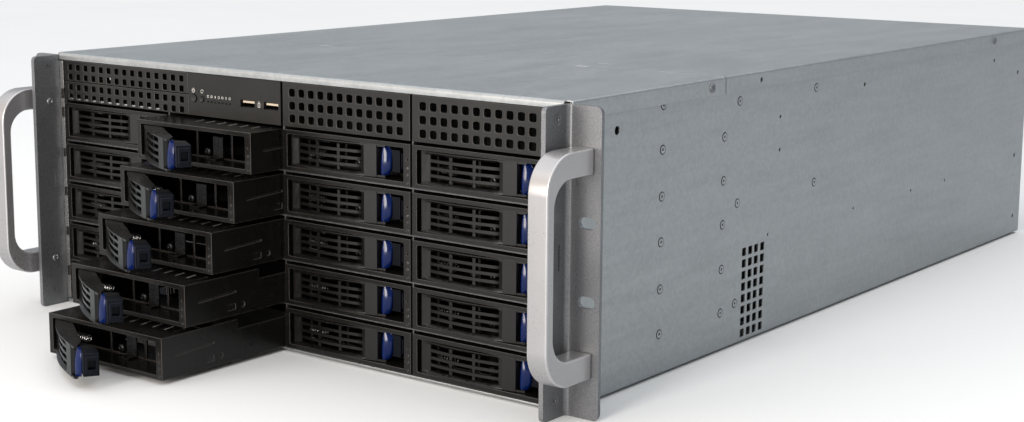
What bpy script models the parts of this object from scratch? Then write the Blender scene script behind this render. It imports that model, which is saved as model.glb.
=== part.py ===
"""Four-unit rack-mount storage enclosure with twenty pull-out drive trays.

Units are metres. +Z is up, -Y is the front and +X is the right-hand side seen from the front.
The origin is the centre of the flat underside of the steel base.
"""
import math

import bmesh
import bpy
from mathutils import Matrix, Vector

# ---- driving dimensions -------------------------------------------------------------------
BODY_WIDTH = 0.438
BODY_DEPTH = 0.680
EAR_SPAN = 0.4826
EAR_HEIGHT = 0.1762
FOOT_HEIGHT = 0.0015
LID_TOP = 0.1763
SHEET = 0.0012
LID_SHEET = 0.0010
GAP = 0.0003

FOOT_RADIUS = 0.008
FOOT_CENTRE = (0.190, 0.310)

FRONT_Y = -BODY_DEPTH / 2
REAR_Y = BODY_DEPTH / 2
HALF_WIDTH = BODY_WIDTH / 2
WALL_INNER = HALF_WIDTH - SHEET
WALL_TOP = LID_TOP - LID_SHEET - GAP
INNER_LOW = SHEET + GAP
INNER_HALF = WALL_INNER - GAP
THROUGH = 0.002

# front posts of the base, between the bays and the ears
POST_FROM = 0.2115
POST_FRONT = FRONT_Y + 0.0002
POST_SHEET = 0.0012

# side walls
VENT_ROWS = 8
VENT_PITCH = 0.0077
VENT_HEIGHT = 0.0053
VENT_LOW = 0.0031
VENT_FROM = FRONT_Y + 0.1965
VENT_TO = FRONT_Y + 0.2258
KEYHOLE = (FRONT_Y + 0.0486, 0.1549)
KEYHOLE_RADIUS = 0.0026

# rear panel
SUPPLY_OPENING = (0.050, 0.006, 0.200, 0.092)
PORT_OPENING = (-0.208, 0.012, -0.0493, 0.0565)
EXHAUST_CENTRES = (-0.062, 0.025)
EXHAUST_ROWS = 5
EXHAUST_PITCH = 0.0128
EXHAUST_WIDTH = 0.068
EXHAUST_HEIGHT = 0.0075
EXHAUST_LOW = 0.104

# drive bays
COLUMNS = 4
ROWS = 5
COLUMN_PITCH = 0.10585
ROW_PITCH = 0.0286
ROW_BASE = 0.0016
TRAY_WIDTH = 0.1041
TRAY_HEIGHT = 0.0257
TRAY_LENGTH = 0.1844
TRAY_WALL = 0.00095
TRAY_BORDER = 0.0026
LEFT_PILLAR = 0.0034
RIGHT_PILLAR = 0.0051
BULKHEAD_Y = 0.0195
BULKHEAD_THICKNESS = 0.0016
BULKHEAD_WINDOWS = ((-0.0476, -0.0177), (-0.0161, 0.0143), (0.0159, 0.0457))
WINDOW_LOW = 0.0034
WINDOW_HIGH = 0.0223
TRAY_ROOF = 0.0012
TRAY_ROOF_LENGTH = 0.0115
FLOOR_WINDOWS = ((0.048, 0.098), (0.110, 0.165))
FLOOR_WINDOW_HALF = 0.040
SIDE_STEP_FROM = 0.062
SIDE_STEP_HEIGHT = 0.0195
TRAY_EXTENSION = {1: 0.0265, 2: 0.0415, 3: 0.0605, 4: 0.083, 5: 0.102}
OPEN_COLUMN = 2

# lever on the front of each tray
LEVER_OPEN_DEG = 33.0
PIVOT_X = -0.0444
PIVOT_Y = 0.0050
LEVER_HEIGHT = 0.0198
LEVER_START = -0.0018
LEVER_END = 0.0706
LEVER_THICKNESS = 0.0020
LEVER_BOW = 0.0030
SLOT_ROWS = 4
SLOT_PITCH = 0.0044
SLOT_HEIGHT = 0.0026
SLOT_START = 0.0052
SLOT_END = 0.0558
BOW_STEPS = 3
HINGE_HALF = 0.0016
LATCH_FROM = 0.0600
LATCH_TO = 0.0822
LATCH_STEP = 0.0698
LATCH_DEPTH = 0.0125
LATCH_HALF_HEIGHT = 0.0070
BUTTON_FROM = 0.0753
BUTTON_TO = 0.0825
BUTTON_FACE = -0.0010
BUTTON_DEPTH = 0.0022
BUTTON_HALF_HEIGHT = 0.0088

# drive cage behind the front plane
CAGE_FRONT = FRONT_Y + 0.0018
CAGE_REAR = -0.150
CAGE_SHEET = 0.0010
CAGE_HALF = 0.2140
CAGE_TOP = 0.1434
SHELF = 0.0008
SHELF_DROP = 0.0004

# row of panels above the bays
PANEL_LOW = 0.1437
PANEL_HIGH = 0.1713
PANEL_THICKNESS = 0.0030
LEFT_ROWS = (0.1464, 0.1530, 0.1602, 0.1668)
RIGHT_ROWS = (0.1488, 0.1569, 0.1650)
GRILLES = {"left_grille": (-0.2106, -0.0848, 15, LEFT_ROWS, 0.00804, 0.0042),
           "centre_grille": (0.0009, 0.1050, 12, RIGHT_ROWS, 0.0080, 0.0050),
           "right_grille": (0.1067, 0.2108, 12, RIGHT_ROWS, 0.0080, 0.0050)}

# control panel
CONTROL_LEFT = -0.0844
CONTROL_RIGHT = -0.0009
SOCKETS_X = (-0.0301, -0.0092)
SOCKET_Z = 0.1550
SOCKET_WIDTH = 0.0127
SOCKET_HEIGHT = 0.0048
SOCKET_DEPTH = 0.0140
SOCKET_WALL = 0.0010
BUTTONS = {"power_button": (-0.0791, 0.1549, 0.0024), "reset_button": (-0.0716, 0.1548, 0.0017)}
BUTTON_LENGTH = 0.0046
BUTTON_PROUD = 0.0008

# ears and handles
EAR_REACH = 0.021
EAR_PLATE = 0.0030
EAR_FLANGE = 0.0025
EAR_BEND = 0.0030
EAR_TAB = 0.018
RACK_SLOT_X = 0.23255
RACK_SLOT_Z = (0.0652, 0.1097)
RACK_SLOT = (0.0114, 0.0067)
EAR_TAB_SHEET = 0.0015
EAR_TAB_TOP = 0.168
EAR_HOLE_RADIUS = 0.0018
EAR_HOLE_Y = FRONT_Y - 0.009
EAR_HOLES_Z = (0.0320, 0.1430)
EAR_NOTCH = (FRONT_Y - 0.0079, 0.0823, FRONT_Y - 0.0067, 0.0975)
HANDLE_X = 0.2301
HANDLE_WIDTH = 0.0134
HANDLE_REACH = 0.0430
HANDLE_BAR = 0.0065
HANDLE_LEG = 0.0145
HANDLE_LOW = 0.0225
HANDLE_HIGH = 0.1520
HANDLE_OUTER_RADIUS = 0.0220
HANDLE_INNER_RADIUS = 0.0150
HANDLE_CHAMFER = 0.0010

# covers
COVER_SEAM_Y = FRONT_Y + 0.1674
COVER_SEAM_GAP = 0.0005
LID_LIP_HEIGHT = 0.0108
LID_FRONT_LIP = 0.0047
LID_SIDE_GAP = 0.0003
LID_OVERHANG = 0.0020

# backplane
BOARD_HALF = 0.2120
BOARD_LOW = 0.0040
BOARD_TOP = 0.1500
BOARD_GAP = 0.0020
BOARD_THICKNESS = 0.0016
CONNECTOR_WIDTH = 0.0400
CONNECTOR_HEIGHT = 0.0060
CONNECTOR_RISE = 0.0030
CONNECTOR_LENGTH = 0.0125
AIR_SLOT_HALF = 0.0390
AIR_SLOT_RISE = 0.0130
AIR_SLOT_HEIGHT = 0.0100

# cooling
FAN_COUNT = 3
FAN_PITCH = 0.140
FAN_FRAME = 0.120
FAN_BORE = 0.057
FAN_DEPTH = 0.025
FAN_WALL_Y = -0.100
FAN_CENTRE_Z = 0.0865
FAN_HUB = 0.0205
FAN_BLADE_TIP = 0.0550
FAN_BLADES = 7
FAN_HUB_DEPTH = 0.0190
FAN_BLADE_CHORD = 0.0270
FAN_BLADE_THICKNESS = 0.0016
FAN_BLADE_TWIST = math.radians(35)
FAN_ROTOR_Y = FAN_WALL_Y + 0.0105
FAN_ARM = 0.0025
FAN_ARM_HALF = 0.0030

# ---- colours: name -> (colour, roughness, metallic) ---------------------------------------
FINISHES = {
    "galvanised_steel": ((0.47, 0.50, 0.53), 0.42, 0.85),
    "ear_steel": ((0.60, 0.60, 0.59), 0.38, 0.85),
    "handle_aluminium": ((0.72, 0.73, 0.74), 0.33, 0.90),
    "bay_plastic": ((0.035, 0.033, 0.032), 0.45, 0.0),
    "cage_steel": ((0.16, 0.16, 0.17), 0.45, 0.80),
    "circuit_board": ((0.02, 0.10, 0.05), 0.50, 0.0),
    "fan_plastic": ((0.03, 0.03, 0.03), 0.50, 0.0),
    "button_plastic": ((0.10, 0.10, 0.11), 0.35, 0.0),
}


def finish(name):
    """Return the Principled material of one finish, made on first use."""
    material = bpy.data.materials.get(name)
    if material:
        return material
    colour, roughness, metallic = FINISHES[name]
    material = bpy.data.materials.new(name)
    material.use_nodes = True
    shader = material.node_tree.nodes["Principled BSDF"]
    shader.inputs["Base Color"].default_value = (*colour, 1.0)
    shader.inputs["Roughness"].default_value = roughness
    shader.inputs["Metallic"].default_value = metallic
    return material


def clear_scene():
    for item in list(bpy.data.objects):
        bpy.data.objects.remove(item, do_unlink=True)


# ---- mesh helpers -------------------------------------------------------------------------
def add_box(mesh, low, high):
    """Add a closed box between two corners."""
    centre = [(a + b) / 2 for a, b in zip(low, high)]
    size = [b - a for a, b in zip(low, high)]
    matrix = Matrix.Translation(centre) @ Matrix.Diagonal((*size, 1.0))
    bmesh.ops.create_cube(mesh, size=1.0, matrix=matrix)


def add_cylinder(mesh, centre, radius, length, axis="Z", segments=24):
    """Add a closed cylinder centred on a point and running along one axis."""
    turn = {"X": Matrix.Rotation(math.pi / 2, 4, "Y"), "Y": Matrix.Rotation(math.pi / 2, 4, "X"),
            "Z": Matrix.Identity(4)}[axis]
    bmesh.ops.create_cone(mesh, cap_ends=True, segments=segments, radius1=radius, radius2=radius,
                          depth=length, matrix=Matrix.Translation(centre) @ turn)


def add_prism(mesh, outline, direction):
    """Extrude a closed outline of 3-D points along a vector into a solid."""
    points = [mesh.verts.new(point) for point in outline]
    face = mesh.faces.new(points)
    face.normal_update()
    if face.normal.dot(Vector(direction)) > 0:
        face.normal_flip()
    copy = bmesh.ops.extrude_face_region(mesh, geom=[face], use_keep_orig=True)
    moved = [item for item in copy["geom"] if isinstance(item, bmesh.types.BMVert)]
    bmesh.ops.translate(mesh, verts=moved, vec=direction)


def make_mesh(name, build):
    """Run a builder on an empty mesh and return it with outward faces."""
    mesh = bmesh.new()
    build(mesh)
    bmesh.ops.recalc_face_normals(mesh, faces=mesh.faces)
    data = bpy.data.meshes.new(name)
    mesh.to_mesh(data)
    mesh.free()
    return data


def place(name, data, finish_name, location=(0, 0, 0), turn_z=0.0):
    """Put a mesh in the scene as one named object."""
    item = bpy.data.objects.new(name, data)
    bpy.context.scene.collection.objects.link(item)
    item.location = location
    item.rotation_euler = (0, 0, turn_z)
    if not data.materials:
        data.materials.append(finish(finish_name))
    return item


def boolean(item, operation, build, label):
    """Join to, or cut from, an object the separate closed shapes that a builder makes."""
    tool = place(f"{item.name}_{label}", make_mesh(f"{item.name}_{label}", build), "cage_steel",
                 item.location, item.rotation_euler.z)
    tool.hide_render = True
    tool.display_type = "WIRE"
    modifier = item.modifiers.new(label, "BOOLEAN")
    modifier.operation = operation
    modifier.solver = "EXACT"
    modifier.object = tool


def baked(item):
    """Return the object's mesh with its modifiers applied, and remove the object and its tools."""
    bpy.context.view_layer.update()
    evaluated = item.evaluated_get(bpy.context.evaluated_depsgraph_get())
    data = bpy.data.meshes.new_from_object(evaluated)
    tools = [modifier.object for modifier in item.modifiers if modifier.type == "BOOLEAN"]
    for used in tools + [item]:
        bpy.data.objects.remove(used, do_unlink=True)
    return data


def arc(centre, radius, start_deg, end_deg, steps):
    """Points along an arc in a plane, both ends included."""
    points = []
    for step in range(steps + 1):
        angle = math.radians(start_deg + (end_deg - start_deg) * step / steps)
        points.append((centre[0] + radius * math.cos(angle), centre[1] + radius * math.sin(angle)))
    return points


# ---- steel body ---------------------------------------------------------------------------
def chassis_base():
    """Folded base with side walls, front posts, pressed feet and side vents."""
    front_lip_half = 0.2150
    wall_front = FRONT_Y + EAR_FLANGE + GAP

    def shell(mesh):
        outline = [(-HALF_WIDTH, 0), (HALF_WIDTH, 0), (HALF_WIDTH, WALL_TOP), (WALL_INNER, WALL_TOP),
                   (WALL_INNER, SHEET), (-WALL_INNER, SHEET), (-WALL_INNER, WALL_TOP),
                   (-HALF_WIDTH, WALL_TOP)]
        add_prism(mesh, [(x, wall_front, z) for x, z in outline], (0, REAR_Y - wall_front, 0))

    def additions(mesh):
        add_box(mesh, (-front_lip_half, FRONT_Y, 0), (front_lip_half, wall_front + 0.010, SHEET))
        for side_x in (-1, 1):
            for side_y in (-1, 1):
                centre = (side_x * FOOT_CENTRE[0], side_y * FOOT_CENTRE[1], -FOOT_HEIGHT / 2 + SHEET / 4)
                add_cylinder(mesh, centre, FOOT_RADIUS, FOOT_HEIGHT + SHEET / 2, segments=16)

    def posts(mesh):
        for side in (-1, 1):
            left, right = sorted((side * POST_FROM, side * (HALF_WIDTH - EAR_PLATE - GAP)))
            add_box(mesh, (left, POST_FRONT, SHEET / 2), (right, POST_FRONT + POST_SHEET, PANEL_HIGH))

    def vents(mesh):
        for side in (-1, 1):
            wall = side * HALF_WIDTH
            for row in range(VENT_ROWS):
                low = VENT_LOW + row * VENT_PITCH
                add_box(mesh, (wall - 2 * THROUGH, VENT_FROM, low),
                        (wall + 2 * THROUGH, VENT_TO, low + VENT_HEIGHT))
            add_cylinder(mesh, (wall, *KEYHOLE), KEYHOLE_RADIUS, 4 * THROUGH, "X", 12)

    item = place("chassis_base", make_mesh("chassis_base", shell), "galvanised_steel")
    boolean(item, "UNION", additions, "additions")
    boolean(item, "UNION", posts, "posts")
    boolean(item, "DIFFERENCE", vents, "vents")


def cover_outline():
    """Cross-section of a cover: flat top with two side lips."""
    inner = HALF_WIDTH + LID_SIDE_GAP
    outer = inner + LID_SHEET
    under = LID_TOP - LID_SHEET
    low = LID_TOP - LID_LIP_HEIGHT
    return [(-outer, low), (-inner, low), (-inner, under), (inner, under), (inner, low),
            (outer, low), (outer, LID_TOP), (-outer, LID_TOP)]


def front_top_cover():
    """Fixed front cover with a folded front lip between the ears."""
    lips_from = FRONT_Y + EAR_FLANGE + GAP
    rear = COVER_SEAM_Y

    def shell(mesh):
        add_prism(mesh, [(x, lips_from, z) for x, z in cover_outline()], (0, rear - lips_from, 0))

    def front_fold(mesh):
        half = HALF_WIDTH - EAR_PLATE - GAP
        under = LID_TOP - LID_SHEET
        inner = FRONT_Y + LID_SHEET
        outline = [(FRONT_Y, LID_TOP - LID_FRONT_LIP), (inner, LID_TOP - LID_FRONT_LIP), (inner, under),
                   (lips_from + 0.010, under), (lips_from + 0.010, LID_TOP), (FRONT_Y, LID_TOP)]
        add_prism(mesh, [(-half, y, z) for y, z in outline], (2 * half, 0, 0))

    item = place("front_top_cover", make_mesh("front_top_cover", shell), "galvanised_steel")
    boolean(item, "UNION", front_fold, "front_fold")


def rear_top_cover():
    """Sliding rear cover with side lips and a lip hanging behind the rear panel."""
    front = COVER_SEAM_Y + COVER_SEAM_GAP
    rear = REAR_Y + LID_OVERHANG

    def shell(mesh):
        add_prism(mesh, [(x, front, z) for x, z in cover_outline()], (0, rear - front, 0))

    def rear_lip(mesh):
        half = HALF_WIDTH + LID_SIDE_GAP + LID_SHEET / 2
        high = LID_TOP - LID_SHEET / 2
        add_box(mesh, (-half, rear - LID_SHEET, LID_TOP - LID_LIP_HEIGHT), (half, rear, high))

    item = place("rear_top_cover", make_mesh("rear_top_cover", shell), "galvanised_steel")
    boolean(item, "UNION", rear_lip, "rear_lip")


def rear_panel():
    """Rear wall with the mainboard port opening, power supply bay and two exhaust vents."""
    def plate(mesh):
        add_box(mesh, (-INNER_HALF, REAR_Y - SHEET, INNER_LOW), (INNER_HALF, REAR_Y, WALL_TOP - GAP))

    def openings(mesh):
        near = REAR_Y - SHEET - THROUGH
        far = REAR_Y + THROUGH
        for left, low, right, high in (SUPPLY_OPENING, PORT_OPENING):
            add_box(mesh, (left, near, low), (right, far, high))
        for centre in EXHAUST_CENTRES:
            for row in range(EXHAUST_ROWS):
                low = EXHAUST_LOW + row * EXHAUST_PITCH
                add_box(mesh, (centre - EXHAUST_WIDTH / 2, near, low),
                        (centre + EXHAUST_WIDTH / 2, far, low + EXHAUST_HEIGHT))

    item = place("rear_panel", make_mesh("rear_panel", plate), "galvanised_steel")
    boolean(item, "DIFFERENCE", openings, "openings")


# ---- ears and handles ---------------------------------------------------------------------
def ear(name, side):
    """Bent mounting ear: forward plate, rack flange and a fixing tab inside the wall."""
    outer = HALF_WIDTH
    inner = HALF_WIDTH - EAR_PLATE
    tab_inner = INNER_HALF - EAR_TAB_SHEET
    low = -FOOT_HEIGHT

    def plan():
        bend = arc((outer + EAR_BEND, FRONT_Y - EAR_BEND), EAR_BEND, 180, 90, 4)
        points = [(inner, FRONT_Y - EAR_REACH), (outer, FRONT_Y - EAR_REACH)]
        points += bend
        points += [(EAR_SPAN / 2, FRONT_Y), (EAR_SPAN / 2, FRONT_Y + EAR_FLANGE)]
        points += [(inner, FRONT_Y + EAR_FLANGE)]
        return points

    def bracket(mesh):
        outline = [(side * x, y, low) for x, y in plan()]
        add_prism(mesh, outline, (0, 0, EAR_HEIGHT))

    def tab(mesh):
        left, right = sorted((side * tab_inner, side * INNER_HALF))
        add_box(mesh, (left, FRONT_Y + EAR_FLANGE / 2, INNER_LOW), (right, FRONT_Y + EAR_TAB, EAR_TAB_TOP))

    def holes(mesh):
        length, height = RACK_SLOT
        for slot_z in RACK_SLOT_Z:
            ends = arc((RACK_SLOT_X + (length - height) / 2, slot_z), height / 2, -90, 90, 6)
            ends += arc((RACK_SLOT_X - (length - height) / 2, slot_z), height / 2, 90, 270, 6)
            outline = [(side * x, FRONT_Y - THROUGH, z) for x, z in ends]
            add_prism(mesh, outline, (0, EAR_FLANGE + 2 * THROUGH, 0))
        for hole_z in EAR_HOLES_Z:
            centre = (side * HALF_WIDTH, EAR_HOLE_Y, hole_z)
            add_cylinder(mesh, centre, EAR_HOLE_RADIUS, 4 * EAR_PLATE, "X", 10)
        front, notch_low, rear, notch_high = EAR_NOTCH
        add_box(mesh, (side * HALF_WIDTH - 2 * EAR_PLATE, front, notch_low),
                (side * HALF_WIDTH + 2 * EAR_PLATE, rear, notch_high))

    item = place(name, make_mesh(name, bracket), "ear_steel")
    boolean(item, "UNION", tab, "tab")
    boolean(item, "DIFFERENCE", holes, "holes")


def handle(name, side):
    """D-shaped pull handle with wide legs and a slim front bar."""
    root = FRONT_Y - GAP
    front = FRONT_Y - HANDLE_REACH
    outer = HANDLE_OUTER_RADIUS
    inner = HANDLE_INNER_RADIUS
    bar = front + HANDLE_BAR
    low = HANDLE_LOW
    high = HANDLE_HIGH

    def profile():
        points = [(root, high)]
        points += arc((front + outer, high - outer), outer, 90, 180, 6)
        points += arc((front + outer, low + outer), outer, 180, 270, 6)
        points += [(root, low), (root, low + HANDLE_LEG)]
        points += arc((bar + inner, low + HANDLE_LEG + inner), inner, 270, 180, 5)
        points += arc((bar + inner, high - HANDLE_LEG - inner), inner, 180, 90, 5)
        points += [(root, high - HANDLE_LEG)]
        return points

    def solid(mesh):
        left = side * HANDLE_X - HANDLE_WIDTH / 2
        add_prism(mesh, [(left, y, z) for y, z in profile()], (HANDLE_WIDTH, 0, 0))

    item = place(name, make_mesh(name, solid), "handle_aluminium")
    edge = item.modifiers.new("edge", "BEVEL")
    edge.width = HANDLE_CHAMFER
    edge.segments = 1
    edge.limit_method = "ANGLE"
    edge.angle_limit = math.radians(60)


# ---- drive bays ---------------------------------------------------------------------------
def column_centre(column):
    return (column - (COLUMNS + 1) / 2) * COLUMN_PITCH


def row_bottom(row):
    return ROW_BASE + (ROWS - row) * ROW_PITCH


def drive_cage():
    """Open-topped egg-crate of steel sheet that guides the trays."""
    def block(mesh):
        add_box(mesh, (-CAGE_HALF, CAGE_FRONT, INNER_LOW), (CAGE_HALF, CAGE_REAR, CAGE_TOP))

    def cells(mesh):
        half_cell = (COLUMN_PITCH - CAGE_SHEET) / 2
        for column in range(1, COLUMNS + 1):
            for row in range(1, ROWS + 1):
                centre = column_centre(column)
                floor = row_bottom(row) - SHELF_DROP if row < ROWS else INNER_LOW - THROUGH
                ceiling = row_bottom(row - 1) - SHELF_DROP - SHELF if row > 1 else CAGE_TOP + THROUGH
                add_box(mesh, (centre - half_cell, CAGE_FRONT - THROUGH, floor),
                        (centre + half_cell, CAGE_REAR + THROUGH, ceiling))

    item = place("drive_cage", make_mesh("drive_cage", block), "cage_steel")
    boolean(item, "DIFFERENCE", cells, "cells")


def tray_mesh():
    """One drive tray. Its origin is the middle of the lower front edge."""
    half = TRAY_WIDTH / 2
    bulkhead_rear = BULKHEAD_Y + BULKHEAD_THICKNESS
    roof_end = BULKHEAD_Y + TRAY_ROOF_LENGTH
    roof_low = TRAY_HEIGHT - TRAY_ROOF
    above = TRAY_HEIGHT + THROUGH
    behind = TRAY_LENGTH + THROUGH

    def block(mesh):
        add_box(mesh, (-half, 0, 0), (half, TRAY_LENGTH, TRAY_HEIGHT))

    def hollows(mesh):
        wall = half - TRAY_WALL
        add_box(mesh, (-half + LEFT_PILLAR, -THROUGH, TRAY_BORDER),
                (half - RIGHT_PILLAR, BULKHEAD_Y, TRAY_HEIGHT - TRAY_BORDER))
        outline = [(bulkhead_rear, TRAY_WALL), (behind, TRAY_WALL), (behind, above), (roof_end, above),
                   (roof_end, roof_low), (bulkhead_rear, roof_low)]
        add_prism(mesh, [(-wall, y, z) for y, z in outline], (2 * wall, 0, 0))

    def windows(mesh):
        for left, right in BULKHEAD_WINDOWS:
            add_box(mesh, (left, BULKHEAD_Y - THROUGH / 2, WINDOW_LOW),
                    (right, bulkhead_rear + THROUGH / 2, WINDOW_HIGH))
        add_box(mesh, (-half - THROUGH, 0.0022, WINDOW_LOW),
                (-half + LEFT_PILLAR + THROUGH / 2, BULKHEAD_Y - 0.0008, WINDOW_HIGH))
        for front, rear in FLOOR_WINDOWS:
            add_box(mesh, (-FLOOR_WINDOW_HALF, front, -THROUGH),
                    (FLOOR_WINDOW_HALF, rear, TRAY_WALL + THROUGH))
        add_box(mesh, (-half - THROUGH, SIDE_STEP_FROM, SIDE_STEP_HEIGHT),
                (half + THROUGH, behind + THROUGH, above + THROUGH))

    item = place("tray_form", make_mesh("tray_form", block), "bay_plastic")
    boolean(item, "DIFFERENCE", hollows, "hollows")
    boolean(item, "DIFFERENCE", windows, "windows")
    return baked(item)


def lever_mesh():
    """One tray lever in its closed direction. Its origin is on the pivot axis, at tray bottom level."""
    middle = TRAY_HEIGHT / 2
    low = middle - LEVER_HEIGHT / 2
    ends_y = -PIVOT_Y + 0.0012
    length = LEVER_END - LEVER_START

    def bowed(offset):
        points = []
        for step in range(BOW_STEPS + 1):
            share = step / BOW_STEPS
            rise = LEVER_BOW * 4 * share * (1 - share)
            points.append((LEVER_START + length * share, ends_y - rise + offset))
        return points

    def plate(mesh):
        outline = bowed(0) + bowed(LEVER_THICKNESS)[::-1]
        add_prism(mesh, [(x, y, low) for x, y in outline], (0, 0, LEVER_HEIGHT))

    def fittings(mesh):
        add_box(mesh, (-HINGE_HALF, ends_y + 0.0002, low), (HINGE_HALF, 0.0018, low + LEVER_HEIGHT))
        outline = [(LATCH_FROM, -0.0030), (LATCH_STEP, -0.0030), (LATCH_STEP, 0.0019), (LATCH_TO, 0.0019),
                   (LATCH_TO, LATCH_DEPTH), (LATCH_FROM, LATCH_DEPTH)]
        add_prism(mesh, [(x, y, middle - LATCH_HALF_HEIGHT) for x, y in outline],
                  (0, 0, 2 * LATCH_HALF_HEIGHT))

    def release_button(mesh):
        add_box(mesh, (BUTTON_FROM, BUTTON_FACE, middle - BUTTON_HALF_HEIGHT),
                (BUTTON_TO, BUTTON_DEPTH, middle + BUTTON_HALF_HEIGHT))

    def slots(mesh):
        for row in range(SLOT_ROWS):
            centre = middle + (row - (SLOT_ROWS - 1) / 2) * SLOT_PITCH
            add_box(mesh, (SLOT_START, -0.012, centre - SLOT_HEIGHT / 2),
                    (SLOT_END, 0.001, centre + SLOT_HEIGHT / 2))

    item = place("lever_form", make_mesh("lever_form", plate), "bay_plastic")
    boolean(item, "UNION", fittings, "fittings")
    boolean(item, "UNION", release_button, "release_button")
    boolean(item, "DIFFERENCE", slots, "slots")
    return baked(item)


def drive_trays():
    """Twenty trays and levers. The second column stands pulled out in steps, its levers open."""
    tray = tray_mesh()
    lever = lever_mesh()
    for column in range(1, COLUMNS + 1):
        for row in range(1, ROWS + 1):
            is_open = column == OPEN_COLUMN
            front = FRONT_Y - (TRAY_EXTENSION[row] if is_open else 0.0)
            corner = Vector((column_centre(column), front, row_bottom(row)))
            turn = -math.radians(LEVER_OPEN_DEG) if is_open else 0.0
            pivot = corner + Vector((PIVOT_X, PIVOT_Y, 0))
            place(f"tray_c{column}_r{row}", tray, "bay_plastic", corner)
            place(f"lever_c{column}_r{row}", lever, "bay_plastic", pivot, turn)


def backplane():
    """Circuit board behind the cage with one connector for each drive and air slots between rows."""
    board_front = CAGE_REAR + BOARD_GAP
    board_rear = board_front + BOARD_THICKNESS

    def board(mesh):
        add_box(mesh, (-BOARD_HALF, board_front, BOARD_LOW), (BOARD_HALF, board_rear, BOARD_TOP))

    def connectors(mesh):
        for column in range(1, COLUMNS + 1):
            for row in range(1, ROWS + 1):
                centre = column_centre(column)
                low = row_bottom(row) + CONNECTOR_RISE
                add_box(mesh, (centre - CONNECTOR_WIDTH, board_front - CONNECTOR_LENGTH, low),
                        (centre, board_front + BOARD_THICKNESS / 3, low + CONNECTOR_HEIGHT))

    def air_slots(mesh):
        for column in range(1, COLUMNS + 1):
            centre = column_centre(column)
            for row in range(1, ROWS + 1):
                low = row_bottom(row) + AIR_SLOT_RISE
                add_box(mesh, (centre - AIR_SLOT_HALF, board_front - THROUGH, low),
                        (centre + AIR_SLOT_HALF, board_rear + THROUGH, low + AIR_SLOT_HEIGHT))

    item = place("backplane", make_mesh("backplane", board), "circuit_board")
    boolean(item, "UNION", connectors, "connectors")
    boolean(item, "DIFFERENCE", air_slots, "air_slots")


# ---- front panels -------------------------------------------------------------------------
def grille(name, left, right, columns, rows, pitch, hole):
    """Flat perforated panel. Rows are the hole centres' heights."""
    def plate(mesh):
        add_box(mesh, (left, FRONT_Y, PANEL_LOW), (right, FRONT_Y + PANEL_THICKNESS, PANEL_HIGH))

    def holes(mesh):
        first = (left + right) / 2 - pitch * (columns - 1) / 2
        for column in range(columns):
            for centre_z in rows:
                centre_x = first + column * pitch
                add_box(mesh, (centre_x - hole / 2, FRONT_Y - THROUGH, centre_z - hole / 2),
                        (centre_x + hole / 2, FRONT_Y + PANEL_THICKNESS + THROUGH, centre_z + hole / 2))

    item = place(name, make_mesh(name, plate), "bay_plastic")
    boolean(item, "DIFFERENCE", holes, "holes")


def control_panel():
    """Panel with two data sockets and openings for the power and reset buttons."""
    def plate(mesh):
        add_box(mesh, (CONTROL_LEFT, FRONT_Y, PANEL_LOW),
                (CONTROL_RIGHT, FRONT_Y + PANEL_THICKNESS, PANEL_HIGH))

    def socket_boxes(mesh, front, rear, grow):
        half_width = SOCKET_WIDTH / 2 + grow
        half_height = SOCKET_HEIGHT / 2 + grow
        for centre in SOCKETS_X:
            add_box(mesh, (centre - half_width, front, SOCKET_Z - half_height),
                    (centre + half_width, rear, SOCKET_Z + half_height))

    def shells(mesh):
        socket_boxes(mesh, FRONT_Y + PANEL_THICKNESS / 6, FRONT_Y + SOCKET_DEPTH, SOCKET_WALL)

    def openings(mesh):
        socket_boxes(mesh, FRONT_Y - THROUGH, FRONT_Y + SOCKET_DEPTH - SOCKET_WALL, 0)
        for x, z, radius in BUTTONS.values():
            add_cylinder(mesh, (x, FRONT_Y, z), radius + GAP, 4 * PANEL_THICKNESS, "Y", 16)

    item = place("control_panel", make_mesh("control_panel", plate), "bay_plastic")
    boolean(item, "UNION", shells, "shells")
    boolean(item, "DIFFERENCE", openings, "openings")


def button(name):
    """Round push button that stands slightly proud of the control panel."""
    x, z, radius = BUTTONS[name]

    def stem(mesh):
        add_cylinder(mesh, (0, 0, 0), radius, BUTTON_LENGTH, "Y", 16)

    middle_y = FRONT_Y + BUTTON_LENGTH / 2 - BUTTON_PROUD
    place(name, make_mesh(name, stem), "button_plastic", (x, middle_y, z))


# ---- cooling ------------------------------------------------------------------------------
def fan_centre(index):
    return (index - (FAN_COUNT - 1) / 2) * FAN_PITCH


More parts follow.
